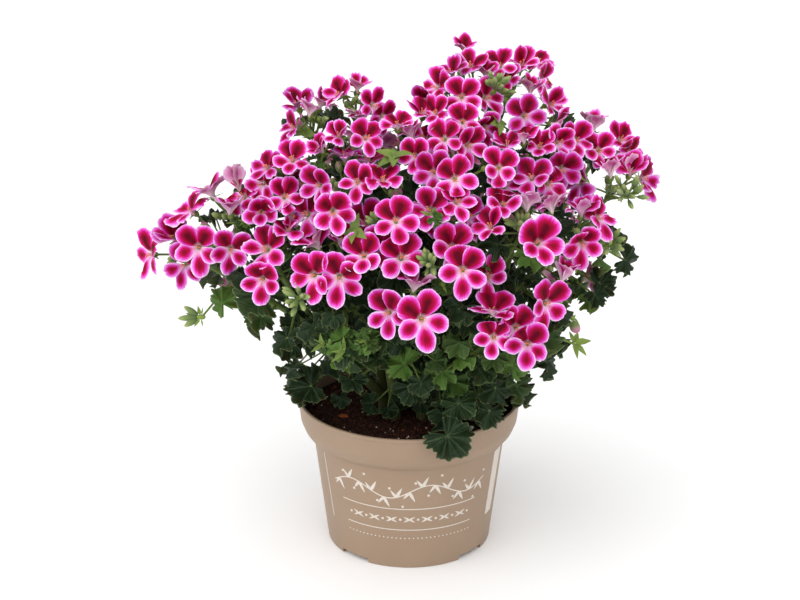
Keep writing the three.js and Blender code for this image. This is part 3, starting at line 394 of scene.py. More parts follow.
# How steeply a petal leaves the throat and how much it bends outward, in radians.
PETAL_STEEP = {"upper": 0.24, "lower": 0.16}
PETAL_BEND = {"least": 0.25, "cupped": 0.62}
PETAL_FOOT = 0.035
# The groove along a petal's middle, and how far the first petal lies over the second.
GROOVE = {"depth": 0.022, "width": 0.12}
FIRST_OVER = 0.028
# How much of their tone the innermost blooms lose: painted shade, for blooms that stand deep among
# the others.
INNER_PAINTED_SHADE = 0.6
STAMENS = 6
STAMEN_DROOP = 0.45

# Sepals stand this far round from the petals, in degrees; other parts in a spiral, in radians.
SEPAL_BEARING = 36
SPIRAL_TURN = 2.4
SPIRAL_SWAY = (-0.3, 0.3)
HEAD_BRACTS = 6
HEAD_BUDS = 7
BUD_ROOM = 9
BUD_STALK_RADIUS = 0.6
TUFT_PARTS = {"buds": 14, "leaves": 4, "bracts": 6}
TUFT_SEPALS = (0.4, 1.65, 2.9, 4.2, 5.4)
TUFT_BLADES = (0.4, 1.7, 2.9, 4.0, 5.2)

# The shape of a leaf: how far round it goes, and one lobe's share of that, in radians.
LEAF_SPAN = 2.62
LOBE_TURN = 1.06
LEAF_THICKNESS = 0.5
LEAF_PLEAT = 0.24
LEAF_KINDS = 5
BIG_LEAF = {"points": 104, "rings": (1.0, 0.84, 0.62, 0.4, 0.2), "teeth": 4, "seed": 50}
SMALL_LEAF = {"points": 50, "rings": (1.0, 0.62), "teeth": 3, "seed": 60}
# The ranges that a leaf draws its own shape from.
LEAF_CRISP = (0.12, 0.24)
LEAF_CURL = (-0.3, 0.5)
LEAF_LEAN = (-0.25, 0.25)
LEAF_VALLEY = (-0.15, 0.5)

TOWARD = np.array([0, -math.cos(PITCH), math.sin(PITCH)])
UPWARD = np.array([0, math.sin(PITCH), math.cos(PITCH)])
UP = np.array([0.0, 0.0, 1.0])
# Ranges of the shift of a wave, and of the number that gives a material's pattern its place.
PHASES = (0, 6)
SEEDS = (0, 50)
# Where each kind of random draw starts from.
STARTS = {"nod": 9000, "petals": 4000, "greens": 7000, "stems": 900, "fillers": 77, "soil": 31}


# Vectors.
def vec(*values):
    return np.array(values, float)


def size(v):
    return float(np.linalg.norm(v))


def unit(v):
    return v / np.linalg.norm(v)


def unit_rows(rows):
    return rows / np.linalg.norm(rows, axis=1, keepdims=True)


def mean(points):
    return np.mean(points, axis=0)


def around(x, y, turn):
    """The direction at an angle from x towards y."""
    return x * math.cos(turn) + y * math.sin(turn)


def on_circle(radius, turn, height):
    return vec(radius * math.cos(turn), radius * math.sin(turn), height)


def grown(pair, share):
    """A least value that grows by a share."""
    least, growth = pair
    return least + growth * share


def draw(n):
    """A repeatable draw from 0 to 1 for a whole number, the same as the solids use."""
    mask = 0xFFFFFFFF
    t = (n * 2654435761 + 40503) & mask
    t = ((t ^ (t >> 15)) * 2246822519) & mask
    t = ((t ^ (t >> 13)) * 3266489917) & mask
    return (t ^ (t >> 16)) / 2**32


# Layout: the same places as the solids have.
def at_pixel(across_px, down_px, forward):
    """The point that shows at a pixel of the front view, this far forward of the axis."""
    scale = (DISTANCE - forward) / FOCAL_PX
    across = (across_px - AXIS_ACROSS_PX) * scale
    up = (MIDDLE_DOWN_PX - down_px) * scale
    return vec(across, 0, AIM_HEIGHT) + UPWARD * up + TOWARD * forward


def pixel_of(at):
    """The pixel of the front view where a point shows."""
    away = at - vec(0, 0, AIM_HEIGHT)
    scale = FOCAL_PX / (DISTANCE - float(away @ TOWARD))
    return AXIS_ACROSS_PX + at[0] * scale, MIDDLE_DOWN_PX - float(away @ UPWARD) * scale


def front_face(right, rise):
    return unit(TOWARD + UPWARD * rise + vec(right, 0, 0))


def front_bloom(row):
    across_px, down_px, set_back, right, rise = row
    across = (across_px - AXIS_ACROSS_PX) * DISTANCE / FOCAL_PX
    up = (MIDDLE_DOWN_PX - down_px) * DISTANCE / FOCAL_PX
    left = 1 - (across / MOUND["across"]) ** 2 - ((up - MOUND["up"]) / MOUND["rise"]) ** 2
    forward = MOUND["forward"] + MOUND["depth"] * math.sqrt(max(0, left)) - set_back
    return {
        "at": at_pixel(across_px, down_px, forward),
        "face": front_face(right, rise),
        "rise": min(1, max(0, rise)),
        "inner": min(1, max(0, set_back) / INNERMOST),
        "proud": max(0, -set_back),
    }


def back_blooms(row, seed):
    """The blooms of a head at the back: one in the middle, the others in a ring round it."""
    bearing, height, count = row
    h = math.radians(height)
    ray = on_circle(math.cos(h), math.radians(bearing), math.sin(h))
    middle = vec(*BACK_MIDDLE) + ray * vec(*BACK_REACH)
    out = unit(ray / vec(*BACK_REACH))
    side = unit(np.cross(UP, out))
    other = np.cross(out, side)
    blooms = []
    for k in range(count):
        last = k == count - 1
        spread = 0 if last else BACK_BLOOM["spread"] + BACK_BLOOM["sway"] * draw(seed * 31 + k)
        lean = around(side, other, k * 2 * math.pi / (count - 1) + seed)
        proud = BACK_BLOOM["out"] if last else -BACK_BLOOM["depth"] * draw(seed * 57 + k)
        at = middle + lean * spread + out * proud
        face = unit(out + lean * (0 if last else BACK_BLOOM["lean"]) + UP * BACK_BLOOM["up"])
        rise = BACK_BLOOM["rise"]
        blooms.append({"at": at, "face": face, "rise": rise, "inner": 0, "proud": 0})
    return blooms


heads = {name: {"blooms": [front_bloom(r) for r in rows]} for name, rows in FRONT_HEADS.items()}
for number, (name, row) in enumerate(BACK_HEADS.items()):
    heads[name] = {"blooms": back_blooms(row, number + 1)}
for head in heads.values():
    head["out"] = unit(mean([b["face"] for b in head["blooms"]]))
    head["umbel"] = mean([b["at"] for b in head["blooms"]]) - head["out"] * UMBEL_DROP

blades = []
sticks = []


def add_blade(kind, at, reach, owner):
    blades.append({"kind": kind, "at": at, "reach": reach, "owner": owner})
    return len(blades) - 1


def add_stick(a, b, radius, owner, blade=-1, leaf=False):
    sticks.append({"a": a, "b": b, "radius": radius, "owner": owner, "blade": blade, "leaf": leaf})
    return sticks[-1]


def stick_arrays(chosen):
    return np.array([s["a"] for s in chosen]), np.array([s["b"] for s in chosen])


def nearest_on(a, b, p):
    """The nearest point to p on each straight piece from a to b."""
    run = b - a
    t = np.sum((p - a) * run, axis=-1) / np.sum(run * run, axis=-1)
    return a + run * np.clip(t, 0, 1)[..., None]


BLOOMS = []
for name, head in heads.items():
    for bloom in head["blooms"]:
        seed = len(BLOOMS)
        height = (bloom["at"][2] - TOP_SHRINK["from"]) / (TOP_SHRINK["to"] - TOP_SHRINK["from"])
        bloom["size"] = BLOOM_SIZE["least"] + BLOOM_SIZE["growth"] * draw(seed)
        if bloom["proud"]:
            bloom["size"] = OPEN_SIZE["least"] + OPEN_SIZE["growth"] * bloom["proud"]
        bloom["size"] *= 1 - TOP_SHRINK["share"] * min(1, max(0, height))
        bloom["roll"] = BLOOM_ROLL * (draw(seed + 1000) - 0.5)
        bloom["seed"] = seed
        bloom["blade"] = add_blade("bloom", bloom["at"], BLOOM_REACH * bloom["size"], name)
        calyx = bloom["at"] - bloom["face"] * CALYX_DEPTH
        bloom["stalk"] = add_stick(calyx, head["umbel"], PEDICEL_RADIUS, name, bloom["blade"])
        BLOOMS.append(bloom)

stems = []
for name, (bearing, carried) in STEMS.items():
    foot = on_circle(CROWN_RADIUS, math.radians(bearing), SOIL_LEVEL - STEM_DEPTH)
    middle = mean([heads[h]["umbel"] for h in carried])
    collar = foot + UP * (STEM_DEPTH + COLLAR_RISE)
    fork = collar + (middle - collar) * 0.5
    stem = {"name": name, "foot": foot, "collar": collar, "fork": fork}
    stem.update(branches=[], leaves=[], fillers=[], tufts=[])
    add_stick(foot, collar, STEM_RADIUS, name)
    add_stick(collar, fork, STEM_RADIUS, name)
    for k, h in enumerate(carried):
        umbel = heads[h]["umbel"]
        start = collar + (fork - collar) * (1 - FORK_SPREAD * k / len(carried))
        along = unit(umbel - start)
        tip = umbel - along * (UMBEL_RADIUS + SEAT_GAP)
        heads[h]["along"] = along
        stem["branches"].append((start, tip))
        add_stick(start, tip, BRANCH_RADIUS, name)
        add_stick(umbel - along * UMBEL_RADIUS, umbel + along * UMBEL_RADIUS, UMBEL_RADIUS, h)
    stems.append(stem)

rim_turns = [k * 2 * math.pi / RIM_STICKS for k in range(RIM_STICKS)]
rim = [on_circle(RIM_RADIUS, turn, POT_HEIGHT - 1) for turn in rim_turns]
for start, end in zip(rim, rim[1:] + rim[:1]):
    add_stick(start, end, RIM_STICK_RADIUS, "pot")


def between(a, b, ends):
    """The shortest way from the straight piece a to b to each of the others."""
    steps = [a + (b - a) * t for t in np.linspace(0, 1, 13)]
    return np.min([np.linalg.norm(nearest_on(*ends, p) - p, axis=1) for p in steps], axis=0)


def petiole_is_clear(at, joint, stem, carrier):
    """Whether a leaf's stalk from at to joint passes clear of other stems and of all blades."""
    near = between(at, joint, stick_arrays(sticks))
    for s, way in zip(sticks, near):
        if s is not carrier and s["owner"] != stem["name"] and way < PETIOLE_ROOM + s["radius"]:
            return False
    centres = np.array([b["at"] for b in blades])
    on = nearest_on(at[None], joint[None], centres)
    return not (np.linalg.norm(on - centres, axis=1) < PETIOLE_BLADE_ROOM).any()


def add_leaf(leaf, reach, must_be_clear):
    """Adds a leaf to the stem nearest to it, unless its stalk would be too long or in the way."""
    at = leaf["at"]
    best = None
    for stem in stems:
        for s in sticks:
            if s["owner"] != stem["name"] or s["leaf"]:
                continue
            joint = nearest_on(s["a"], s["b"], at - UP * PETIOLE_DROP)
            gap = size(joint - at)
            if joint[2] > SOIL_LEVEL + JOINT_RISE and (best is None or gap < best[0]):
                best = (gap, joint, stem, s)
    gap, joint, stem, carrier = best
    if must_be_clear and (gap > LONGEST_PETIOLE or not petiole_is_clear(at, joint, stem, carrier)):
        return
    leaf["blade"] = add_blade("leaf", at, reach, stem["name"])
    leaf["stalk"] = add_stick(at, joint, PETIOLE_RADIUS, stem["name"], leaf["blade"], True)
    stem["leaves"].append(leaf)


def front_leaf(row, kind):
    """A leaf of the front view: dark, young, a fan of ovals, a sprig or one with a pink bud."""
    across_px, down_px, forward, reach, tip_degrees, right, rise = row
    tip = around(vec(1, 0, 0), UPWARD, math.radians(tip_degrees))
    at = at_pixel(across_px, down_px, forward)
    add_leaf({"at": at, "tip": tip, "face": front_face(right, rise), "kind": kind}, reach, False)


for number, row in enumerate(FRONT_LEAVES):
    kind = "young" if number in YOUNG_LEAVES else "dark"
    front_leaf(row, "ovals" if number in OVAL_LEAVES else kind)
for number, row in enumerate(FRONT_SPRIGS):
    front_leaf(row, "pink_sprig" if number == PINK_SPRIG else "sprig")


def skirt_place(k):
    share = (k * HEIGHT_STEP) % 1
    height = SKIRT_FOOT + SKIRT_HEIGHT * share * grown(SKIRT_BUNCH, share)
    outward = grown(SKIRT_OUTWARD, math.sqrt(draw(k + 5000)))
    climb = min(height - SKIRT_FOOT, SKIRT_CLIMB)
    half = vec(grown(SKIRT_ACROSS, climb), grown(SKIRT_DEEP, climb), height)
    return half * on_circle(outward, k * GOLDEN, 1)


def skirt_is_free(at):
    """Whether a skirt leaf at this place leaves the open soil, its neighbours and stalks clear."""
    if at[1] < -OPEN_SOIL["forward"] and at[2] < OPEN_SOIL["height"]:
        if OPEN_SOIL["left"] < at[0] < OPEN_SOIL["right"]:
            return False
    if at[0] < OPEN_SIDE["left"] and at[2] < OPEN_SIDE["height"]:
        return False
    room = {"bloom": BLOOM_ROOM, "leaf": LEAF_ROOM}
    if any(size(b["at"] - at) < room[b["kind"]] for b in blades):
        return False
    way = np.linalg.norm(nearest_on(*stick_arrays(sticks), at) - at, axis=1)
    return not (way < LEAF_STICK_ROOM + np.array([s["radius"] for s in sticks])).any()


placed = len(blades)
for k in range(LEAF_TRIES):
    at = skirt_place(k)
    if len(blades) < placed + SKIRT_LEAVES and skirt_is_free(at):
        out = unit(vec(at[0], at[1], 0))
        lean = grown(SKIRT_LEAN, draw(k + 7000))
        kind = "young" if draw(k + 9000) > SKIRT_YOUNG else "dark"
        leaf = {"at": at, "face": unit(UP + out * lean), "tip": unit(out - UP * lean), "kind": kind}
        add_leaf(leaf, LEAF_REACH * grown(SKIRT_SIZE, draw(k + 8000)), True)

BLADE_AT = np.array([b["at"] for b in blades])
BLADE_REACH = np.array([b["reach"] for b in blades])
STICK_ENDS = stick_arrays(sticks)
STICK_RADIUS = np.array([s["radius"] for s in sticks])
STICK_BLADE = np.array([s["blade"] for s in sticks])
STEM_NAMED = {stem["name"]: stem for stem in stems}
CARRIERS = [s for s in sticks if s["owner"] in STEMS and not s["leaf"]]
CARRIER_ENDS = stick_arrays(CARRIERS)


def nearest_joint(at, rise, low=0):
    """The place on a stem or branch nearest to a point that is raised by rise, how far it is and
    whose it is. Places near the soil count as further off by low."""
    joints = nearest_on(*CARRIER_ENDS, at + UP * rise)
    gaps = np.linalg.norm(joints - at, axis=1)
    nearest = int(np.argmin(gaps + low * (joints[:, 2] < SOIL_LEVEL + 5)))
    return joints[nearest], gaps[nearest], STEM_NAMED[CARRIERS[nearest]["owner"]]


def soil_wall(at, gap):
    """The wall that keeps a leaf at this place clear of the soil."""
    return vec(0, 0, -1)[None], vec(at[2] - SOIL_LEVEL - gap)


def walls_of(index):
    """The walls of a blade's cell: flat limits between it and each neighbour and each stick."""
    at, reach = BLADE_AT[index], BLADE_REACH[index]
    away = BLADE_AT - at
    gap = np.linalg.norm(away, axis=1)
    near = (gap <= reach + BLADE_REACH + CELL_NEAR) & (np.arange(len(blades)) != index)
    share = reach / (reach + BLADE_REACH[near])
    to_blades = away[near] / gap[near, None], gap[near] * share - CELL_GAP
    away = nearest_on(*STICK_ENDS, at) - at
    gap = np.linalg.norm(away, axis=1)
    near = (gap <= reach + CELL_NEAR) & (STICK_BLADE != index)
    far = np.maximum(CELL_LEAST, gap[near] - STICK_RADIUS[near] - CELL_GAP)
    to_sticks = away[near] / np.maximum(gap[near, None], 1e-6), far
    normals, fars = zip(to_blades, to_sticks, soil_wall(at, 4))
    return np.vstack(normals), np.concatenate(fars)


def lay_over(points, index, face):
    """Lifts a bloom's points over a neighbour that stands further in, or lowers them under one
    that stands further out, where they reach past the middle between the two."""
    at, reach = BLADE_AT[index], BLADE_REACH[index]
    lift = np.zeros(len(points))
    for other in np.flatnonzero(np.linalg.norm(BLADE_AT - at, axis=1) < reach + BLADE_REACH):
        if other == index or blades[other]["kind"] != "bloom":
            continue
        away = BLADE_AT[other] - at
        gap = size(away)
        past = (points - at) @ (away / gap) - gap * reach / (reach + BLADE_REACH[other])
        over = 1 if float(away @ face) < 0 else -1
        lift += over * np.clip(past / OVERLAP_RUN, 0, 1) * OVERLAP_LIFT
    return points + np.clip(lift, -OVERLAP_LIFT, OVERLAP_LIFT)[:, None] * face


def keep_in(points, centre, walls, reach, ease=LEAF_EASE):
    """Draws points in towards the blade's own centre where they would come near a wall."""
    normals, fars = walls
    away = points - centre
    share = np.linalg.norm(away, axis=1) / (reach * CELL_LIMIT)
    share = np.maximum(share, (away @ normals.T / (fars * ease)).max(axis=1))
    spare = 1 - FREE_SHARE
    kept = FREE_SHARE + spare * (1 - np.exp(-(share - FREE_SHARE) / spare))
    scale = np.where(share <= FREE_SHARE, 1, kept / np.maximum(share, 1e-9))
    return centre + away * scale[:, None]


# Meshes.
class Surface:
    """Gathers triangles, with a material number each and numbers for the materials to read."""

    def __init__(self, *fields):
        self.points = []
        self.faces = []
        self.mats = []
        self.fields = {f: [] for f in fields}
        self.count = 0

    def add(self, points, faces, mats=0, **values):
        self.points.append(points)
        self.faces.append(np.asarray(faces) + self.count)
        self.mats.append(np.broadcast_to(mats, len(faces)))
        for field, parts in self.fields.items():
            value = np.asarray(values.get(field, 0.0), float)
            parts.append(np.broadcast_to(value, (len(points),)))
        self.count += len(points)

    def add_sheet(self, points, top, low, mats, **values):
        """Adds a sheet whose upper and lower faces have a material each."""
        self.add(points, np.vstack([top, low]), np.repeat(mats, (len(top), len(low))), **values)

    def add_tube(self, line, radii, sides, mat=0, **values):
        points, faces, along = tube(line, radii, sides)
        self.add(points, faces, mat, along=along, **values)

    def add_spindle(self, base, tip, radius, sides, steps, mat=0, **values):
        points, faces, along = spindle(base, tip, radius, sides, steps)
        self.add(points, faces, mat, along=along, **values)

    def build(self, name, materials, sharp=40):
        points = np.vstack(self.points) * MM
        faces = np.vstack(self.faces).astype(np.int32)
        mesh = bpy.data.meshes.new(name)
        mesh.vertices.add(len(points))
        mesh.vertices.foreach_set("co", points.ravel())
        mesh.loops.add(faces.size)
        mesh.loops.foreach_set("vertex_index", faces.ravel())
        mesh.polygons.add(len(faces))
        mesh.polygons.foreach_set("loop_start", np.arange(0, faces.size, 3, dtype=np.int32))
        mesh.polygons.foreach_set("material_index", np.concatenate(self.mats).astype(np.int32))
        mesh.update(calc_edges=True)
        for field, parts in self.fields.items():
            layer = mesh.attributes.new(field, "FLOAT", "POINT")
            layer.data.foreach_set("value", np.concatenate(parts))
        mesh.shade_smooth()
        mesh.set_sharp_from_angle(angle=math.radians(sharp))
        for material in materials:
            mesh.materials.append(MATERIALS[material])
        piece = bpy.data.objects.new(name, mesh)
        bpy.context.scene.collection.objects.link(piece)
        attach(piece, "root")
        return piece


def circle(sides):
    """The turns of evenly spaced points round a circle."""
    return np.arange(sides) * 2 * math.pi / sides


def fan(loop, centre):
    """Triangles from each point of a loop and the one after it to a point inside."""
    return np.c_[loop, np.roll(loop, -1), np.full(len(loop), centre)]


def band_faces(rings, count):
    """Triangles between each ring of points and the next one."""
    i = np.arange(count)
    j = (i + 1) % count
    faces = []
    for a in range(0, (rings - 1) * count, count):
        b = a + count
        faces += [np.c_[a + i, a + j, b + j], np.c_[a + i, b + j, b + i]]
    return faces


def tube_faces(rings, count):
    """Triangles between rings of points, closed by a point at each end."""
    i = np.arange(count)
    first = rings * count
    ends = [fan(i, first)[:, [1, 0, 2]], fan(first - count + i, first + 1)]
    return np.vstack(band_faces(rings, count) + ends)


def closed_sheet(outline, centre, rings):
    """A flat sheet as rings drawn in from its outline: points, how far each is drawn in, which
    face it belongs to, and the triangles of both faces. The outline belongs to both."""
    count = len(outline)
    flat = np.vstack([centre + s * (outline - centre) for s in rings] + [centre[None]])
    share = np.r_[np.repeat(rings, count), 0.0]
    last = len(flat) - 1
    top = np.vstack(band_faces(len(rings), count) + [fan(last - count + np.arange(count), last)])
    low = top[:, ::-1].copy()
    low[low >= count] += len(flat) - count
    inner = np.r_[np.arange(len(flat)), np.arange(count, len(flat))]
    side = np.r_[np.ones(len(flat)), -np.ones(len(flat) - count)]
    return flat[inner], share[inner], side, top, low


def tube(points, radii, sides):
    """A closed tube through points, with a radius at each: points, triangles and way along."""
    points = np.asarray(points, float)
    radii = np.broadcast_to(radii, len(points))
    runs = unit_rows(np.gradient(points, axis=0))
    x = np.cross(runs[0], UP if abs(runs[0][2]) < 0.9 else vec(1, 0, 0))
    turns = circle(sides)[:, None]
    rings = []
    for p, r, run in zip(points, radii, runs):
        x = unit(x - run * np.dot(x, run))
        rings.append(p + r * (np.cos(turns) * x + np.sin(turns) * np.cross(run, x)))
    along = np.r_[np.repeat(np.linspace(0, 1, len(points)), sides), 0.0, 1.0]
    return np.vstack(rings + [points[:1], points[-1:]]), tube_faces(len(points), sides), along


def bend(a, b, lead_a, lead_b, steps):
    """Points on a smooth curve that leaves a by lead_a and comes to b by lead_b."""
    t = np.linspace(0, 1, steps)[:, None]
    return (
        (1 - t) ** 3 * a
        + 3 * (1 - t) ** 2 * t * (a + lead_a)
        + 3 * (1 - t) * t**2 * (b + lead_b)
        + t**3 * b
    )


def spindle(base, tip, radius, sides, steps):
    """A closed bud that is widest below its middle: its points run from base to tip."""
    t = np.linspace(0, 1, steps)
    radii = radius * (0.25 + 0.9 * np.sin(np.pi * np.minimum(1, 0.12 + t * 0.86)) ** 0.8)
    radii[-1] = radius * 0.12
    return tube(base + t[:, None] * (tip - base), radii, sides)


def narrow_leaf(points):
    """The outline of a small pointed leaf, one long."""
    t = np.linspace(0, 2 * math.pi, points, endpoint=False)
    return np.c_[0.5 - 0.5 * np.cos(t), np.sin(t) * (0.6 + 0.4 * np.cos(t)) * 0.5]


def turned(p, q, turn):
    """Flat points turned by an angle."""
    c, s = math.cos(turn), math.sin(turn)
    return np.c_[p * c - q * s, p * s + q * c]


def placed_by(local, at, axes, reach):
    """Points given in the axes of a bloom or leaf as shares of its reach, in millimetres."""
    return at + reach * (local @ np.array(axes))


# Blooms.
def bloom_axes(bloom):
    """The axes of a bloom, which nods to its own side, and more so where it stands further in."""
    rng = np.random.default_rng(STARTS["nod"] + bloom["seed"])
    face, high = bloom["face"], bloom["rise"]
    level = unit(np.cross(UP, face))
    most = NOD * (1 + bloom["inner"])
    nod = level * rng.uniform(-most, most) + np.cross(face, level) * rng.uniform(-most, most)
    z = unit(face + nod + UPWARD * high * HIGH_TILT - TOWARD * high**3 * HIGH_TURN)
    level = unit(np.cross(UP, z))
    x = unit(around(level, np.cross(z, level), bloom["roll"]))
    return x, np.cross(z, x), z


for bloom in BLOOMS:
    bloom["axes"] = bloom_axes(bloom)
BLOOM_AT = np.array([bloom["at"] for bloom in BLOOMS])
BLOOM_FACE = np.array([bloom["axes"][2] for bloom in BLOOMS])


def crosses_bloom(a, b):
    """Whether the straight way from a to b goes through the petals of a bloom."""
    before = np.sum((a - BLOOM_AT) * BLOOM_FACE, axis=1)
    after = np.sum((b - BLOOM_AT) * BLOOM_FACE, axis=1)
    through = before * after < 0
    share = before / np.where(through, before - after, 1)
    gap = np.linalg.norm(a + share[:, None] * (b - a) - BLOOM_AT, axis=1)
    return bool((through & (gap < BLOOM_ROOM)).any())


def petal_narrowing(cosine):
    """How narrow a petal is towards its base."""
    return 1 - PETAL_NARROWING * np.clip(-cosine, 0, 1) ** 1.5


def petal_sheet(half, seed):
    """An egg-shaped petal, narrow at its base, with a slightly uneven outer edge."""
    rng = np.random.default_rng(seed)
    t = np.linspace(0, 2 * math.pi, PETAL_POINTS, endpoint=False)
    x = np.where(np.cos(t) > 0, 1 - PETAL_HEART, PETAL_HEART) * np.cos(t)
    y = half * np.sin(t) * petal_narrowing(np.cos(t))
    wave = 0.045 * np.sin(3 * t + rng.uniform(*PHASES))
    wave += 0.025 * np.sin(7 * t + rng.uniform(*PHASES))
    swell = 1 + wave * np.clip(np.cos(t) + 0.4, 0, 1)
    outline = np.c_[PETAL_HEART + x * swell, y * swell]
    return closed_sheet(outline, np.array([PETAL_HEART, 0.0]), PETAL_RINGS)


PETAL_SHAPES = [
    [petal_sheet(half, 11 * k + kind) for kind in range(PETAL_KINDS)]
    for k, (_, _, half, _) in enumerate(PETALS)
]


def across_petal(flat):
    """How near a point of a petal is to its side edges, from 0 on its middle line to 1."""
    turn = np.arccos(np.clip((flat[:, 0] - PETAL_HEART) / PETAL_HEART, -1, 1))
    edge = np.abs(flat[:, 1]).max() * np.sin(turn) * petal_narrowing(np.cos(turn))
    return np.clip(np.abs(flat[:, 1]) / (edge + 0.02), 0, 1)


def petal_form(k, flat, share, cupped, may_fold, rng):
    """A petal's points in the axes of its bloom, as shares of its reach. It rises out of the
    throat at a steep angle and bends outward, with a cup, a twist and a ruffled edge."""

    def pick(name):
        return rng.uniform(*PETAL_DRAWS[name])

    bearing, long, half, upper = PETALS[k]
    u, v = flat[:, 0], flat[:, 1] / half
    folded = pick("folded") if rng.uniform() < FOLDED_CHANCE and may_fold else 0
    steep = PETAL_STEEP["upper" if upper else "lower"] + cupped * pick("closed") + folded
    bent = PETAL_BEND["least"] + PETAL_BEND["cupped"] * cupped * pick("bend") + pick("own_bend")
    cup, twist = pick("cup"), pick("twist")
    wave = np.sin(pick("waves") * np.pi * v + rng.uniform(*PHASES) + 3 * u)
    ruffle = pick("ruffle") * wave * share**2 * np.clip(u * 1.8 - 0.4, 0, 1)
    groove = np.exp(-((v / GROOVE["width"]) ** 2)) * np.clip(1.2 - u, 0, 1)
    height = (np.cos(steep - bent * u) - math.cos(steep)) / bent
    height += cup * v**2 * u + twist * v * u + ruffle - GROOVE["depth"] * groove
    height -= THROAT_DEPTH * np.exp(-u / THROAT_RADIUS)
    if k == 0:
        height += FIRST_OVER * np.clip(u * 2, 0, 1)
    turn = math.radians(bearing + pick("bearing"))
    length = (math.sin(steep) - np.sin(steep - bent * u)) / bent
    out = length * long * pick("length") + PETAL_FOOT
    return np.c_[turned(out, flat[:, 1] * pick("width"), turn), height]


def add_petals(surface, bloom):
    """The five petals of a bloom: they rise out of a short funnel and flare."""
    rng = np.random.default_rng(STARTS["petals"] + bloom["seed"])
    at, axes, inner = bloom["at"], bloom["axes"], bloom["inner"]
    reach = BLADE_REACH[bloom["blade"]] * (1 if bloom["proud"] else BLOOM_SPREAD)
    walls = walls_of(bloom["blade"])
    cupped = rng.uniform(*CUPPED) + bloom["rise"] * rng.uniform(*CUPPED_HIGH)
    if rng.uniform() < YOUNG_CHANCE["least"] + YOUNG_CHANCE["inner"] * inner:
        cupped += rng.uniform(*CUPPED_YOUNG)
    # Each bloom draws a random tone, which is lowered for the innermost ones as painted shade.
    tone = rng.uniform(0, 1) * (1 - INNER_PAINTED_SHADE * inner)
    for k, (_, _, _, upper) in enumerate(PETALS):
        flat, share, side, top, low = PETAL_SHAPES[k][rng.integers(PETAL_KINDS)]
        local = petal_form(k, flat, share, cupped, not bloom["proud"], rng)
        world = lay_over(placed_by(local, at, axes, reach), bloom["blade"], axes[2])
        world = keep_in(world, at, walls, reach, BLOOM_EASE)
        world = world + axes[2] * (side * PETAL_THICKNESS / 2 * (1 - share**4))[:, None]
        depth, u = 1 - share, flat[:, 0]
        if upper:
            depth = np.where(u < PETAL_HEART, 1 - np.maximum(across_petal(flat), share * u), depth)
        values = {"depth": depth, "along": u, "ray": np.arctan2(flat[:, 1], u + 0.12)}
        values.update(tone=tone, seed=rng.uniform(*SEEDS))
        surface.add_sheet(world, top, low, (0 if upper else 1, 2), **values)
    add_stamens(surface, bloom, rng)


def add_stamens(surface, bloom, rng):
    """The stamens that stand out of the throat, each with a knob."""
    x, y, z = bloom["axes"]
    for _ in range(STAMENS):
        lean = around(x, y, rng.uniform(0, 2 * math.pi)) - y * STAMEN_DROOP
        base = bloom["at"] - z * 3.2 + lean * 0.5
        tip = bloom["at"] + z * rng.uniform(2.6, 4.8) + lean * rng.uniform(0.9, 2.2)
        line = bend(base, tip, z * 2.5, -z * 1.2 - lean * 0.4, 4)
        surface.add_tube(line, np.linspace(0.3, 0.17, 4), 3, 3)
        knob = unit(lean + z * 0.4) * 0.8
        surface.add_spindle(tip - knob, tip + knob, 0.36, 4, 4, 3, depth=1)


# Green parts of a head.
SEPAL = closed_sheet(narrow_leaf(8), np.array([0.42, 0.0]), (1.0, 0.5))


def add_small_leaf(surface, base, run, face, long, wide, curl, tone):
    """A small pointed leaf from base along run, curled away from face towards its tip."""
    flat, share, side, top, low = SEPAL
    run = unit(run)
    across = unit(np.cross(face, run))
    normal = np.cross(run, across)
    u, v = flat[:, 0], flat[:, 1]
    lift = -curl * u**2 * long + 0.35 * np.abs(v) * wide
    points = base + (u * long)[:, None] * run + (v * wide)[:, None] * across
    points = points + (lift + side * 0.14 * (1 - share**2))[:, None] * normal
    surface.add(points, np.vstack([top, low]), along=u, tone=tone)


def spokes(run, hint):
    """Two directions square to run and to each other."""
    side = unit(np.cross(run, hint))
    return side, np.cross(run, side)


def add_head_greens(surface, head, rng):
    """The stalks, calyxes and buds of a head, and the bracts where its stalks meet."""
    umbel, along, out = head["umbel"], head["along"], head["out"]
    for bloom in head["blooms"]:
        x, y, z = bloom["axes"]
        calyx = bloom["stalk"]["a"]
        radii = np.linspace(PEDICEL_RADIUS, 0.75, 8)
        tone = rng.uniform(0, 0.5)
        surface.add_tube(bend(calyx, umbel, -z * 7, out * 5, 8), radii, 6, tone=tone, age=0.15)
        surface.add_spindle(calyx - z * 2, calyx + z * 3.4, 2.1, 7, 6, tone=0.5)
        for bearing, _, _, _ in PETALS:
            spoke = around(x, y, math.radians(bearing + SEPAL_BEARING) + bloom["roll"])
            run = spoke * rng.uniform(0.7, 1.1) + z * rng.uniform(0.15, 0.5)
            base = calyx + z * 0.4 + spoke
            add_small_leaf(surface, base, run, z, rng.uniform(6, 8), 3.2, 0.25, 0.6)
    surface.add_spindle(umbel - along * 4, umbel + along * 3.5, 2.7, 8, 7, tone=0.4, age=0.1)
    side, other = spokes(along, vec(0.3, 0.2, 0.9))
    for k in range(HEAD_BRACTS):
        spoke = around(side, other, k * SPIRAL_TURN + rng.uniform(*SPIRAL_SWAY))
        run = spoke + along * rng.uniform(0.3, 0.9)
        base, long = umbel + spoke * 2, rng.uniform(5.5, 8)
        add_small_leaf(surface, base, run, along, long, 5, 0.25, rng.uniform(0.5, 1))
    for _ in range(HEAD_BUDS):
        add_bud(surface, head, side, other, rng)


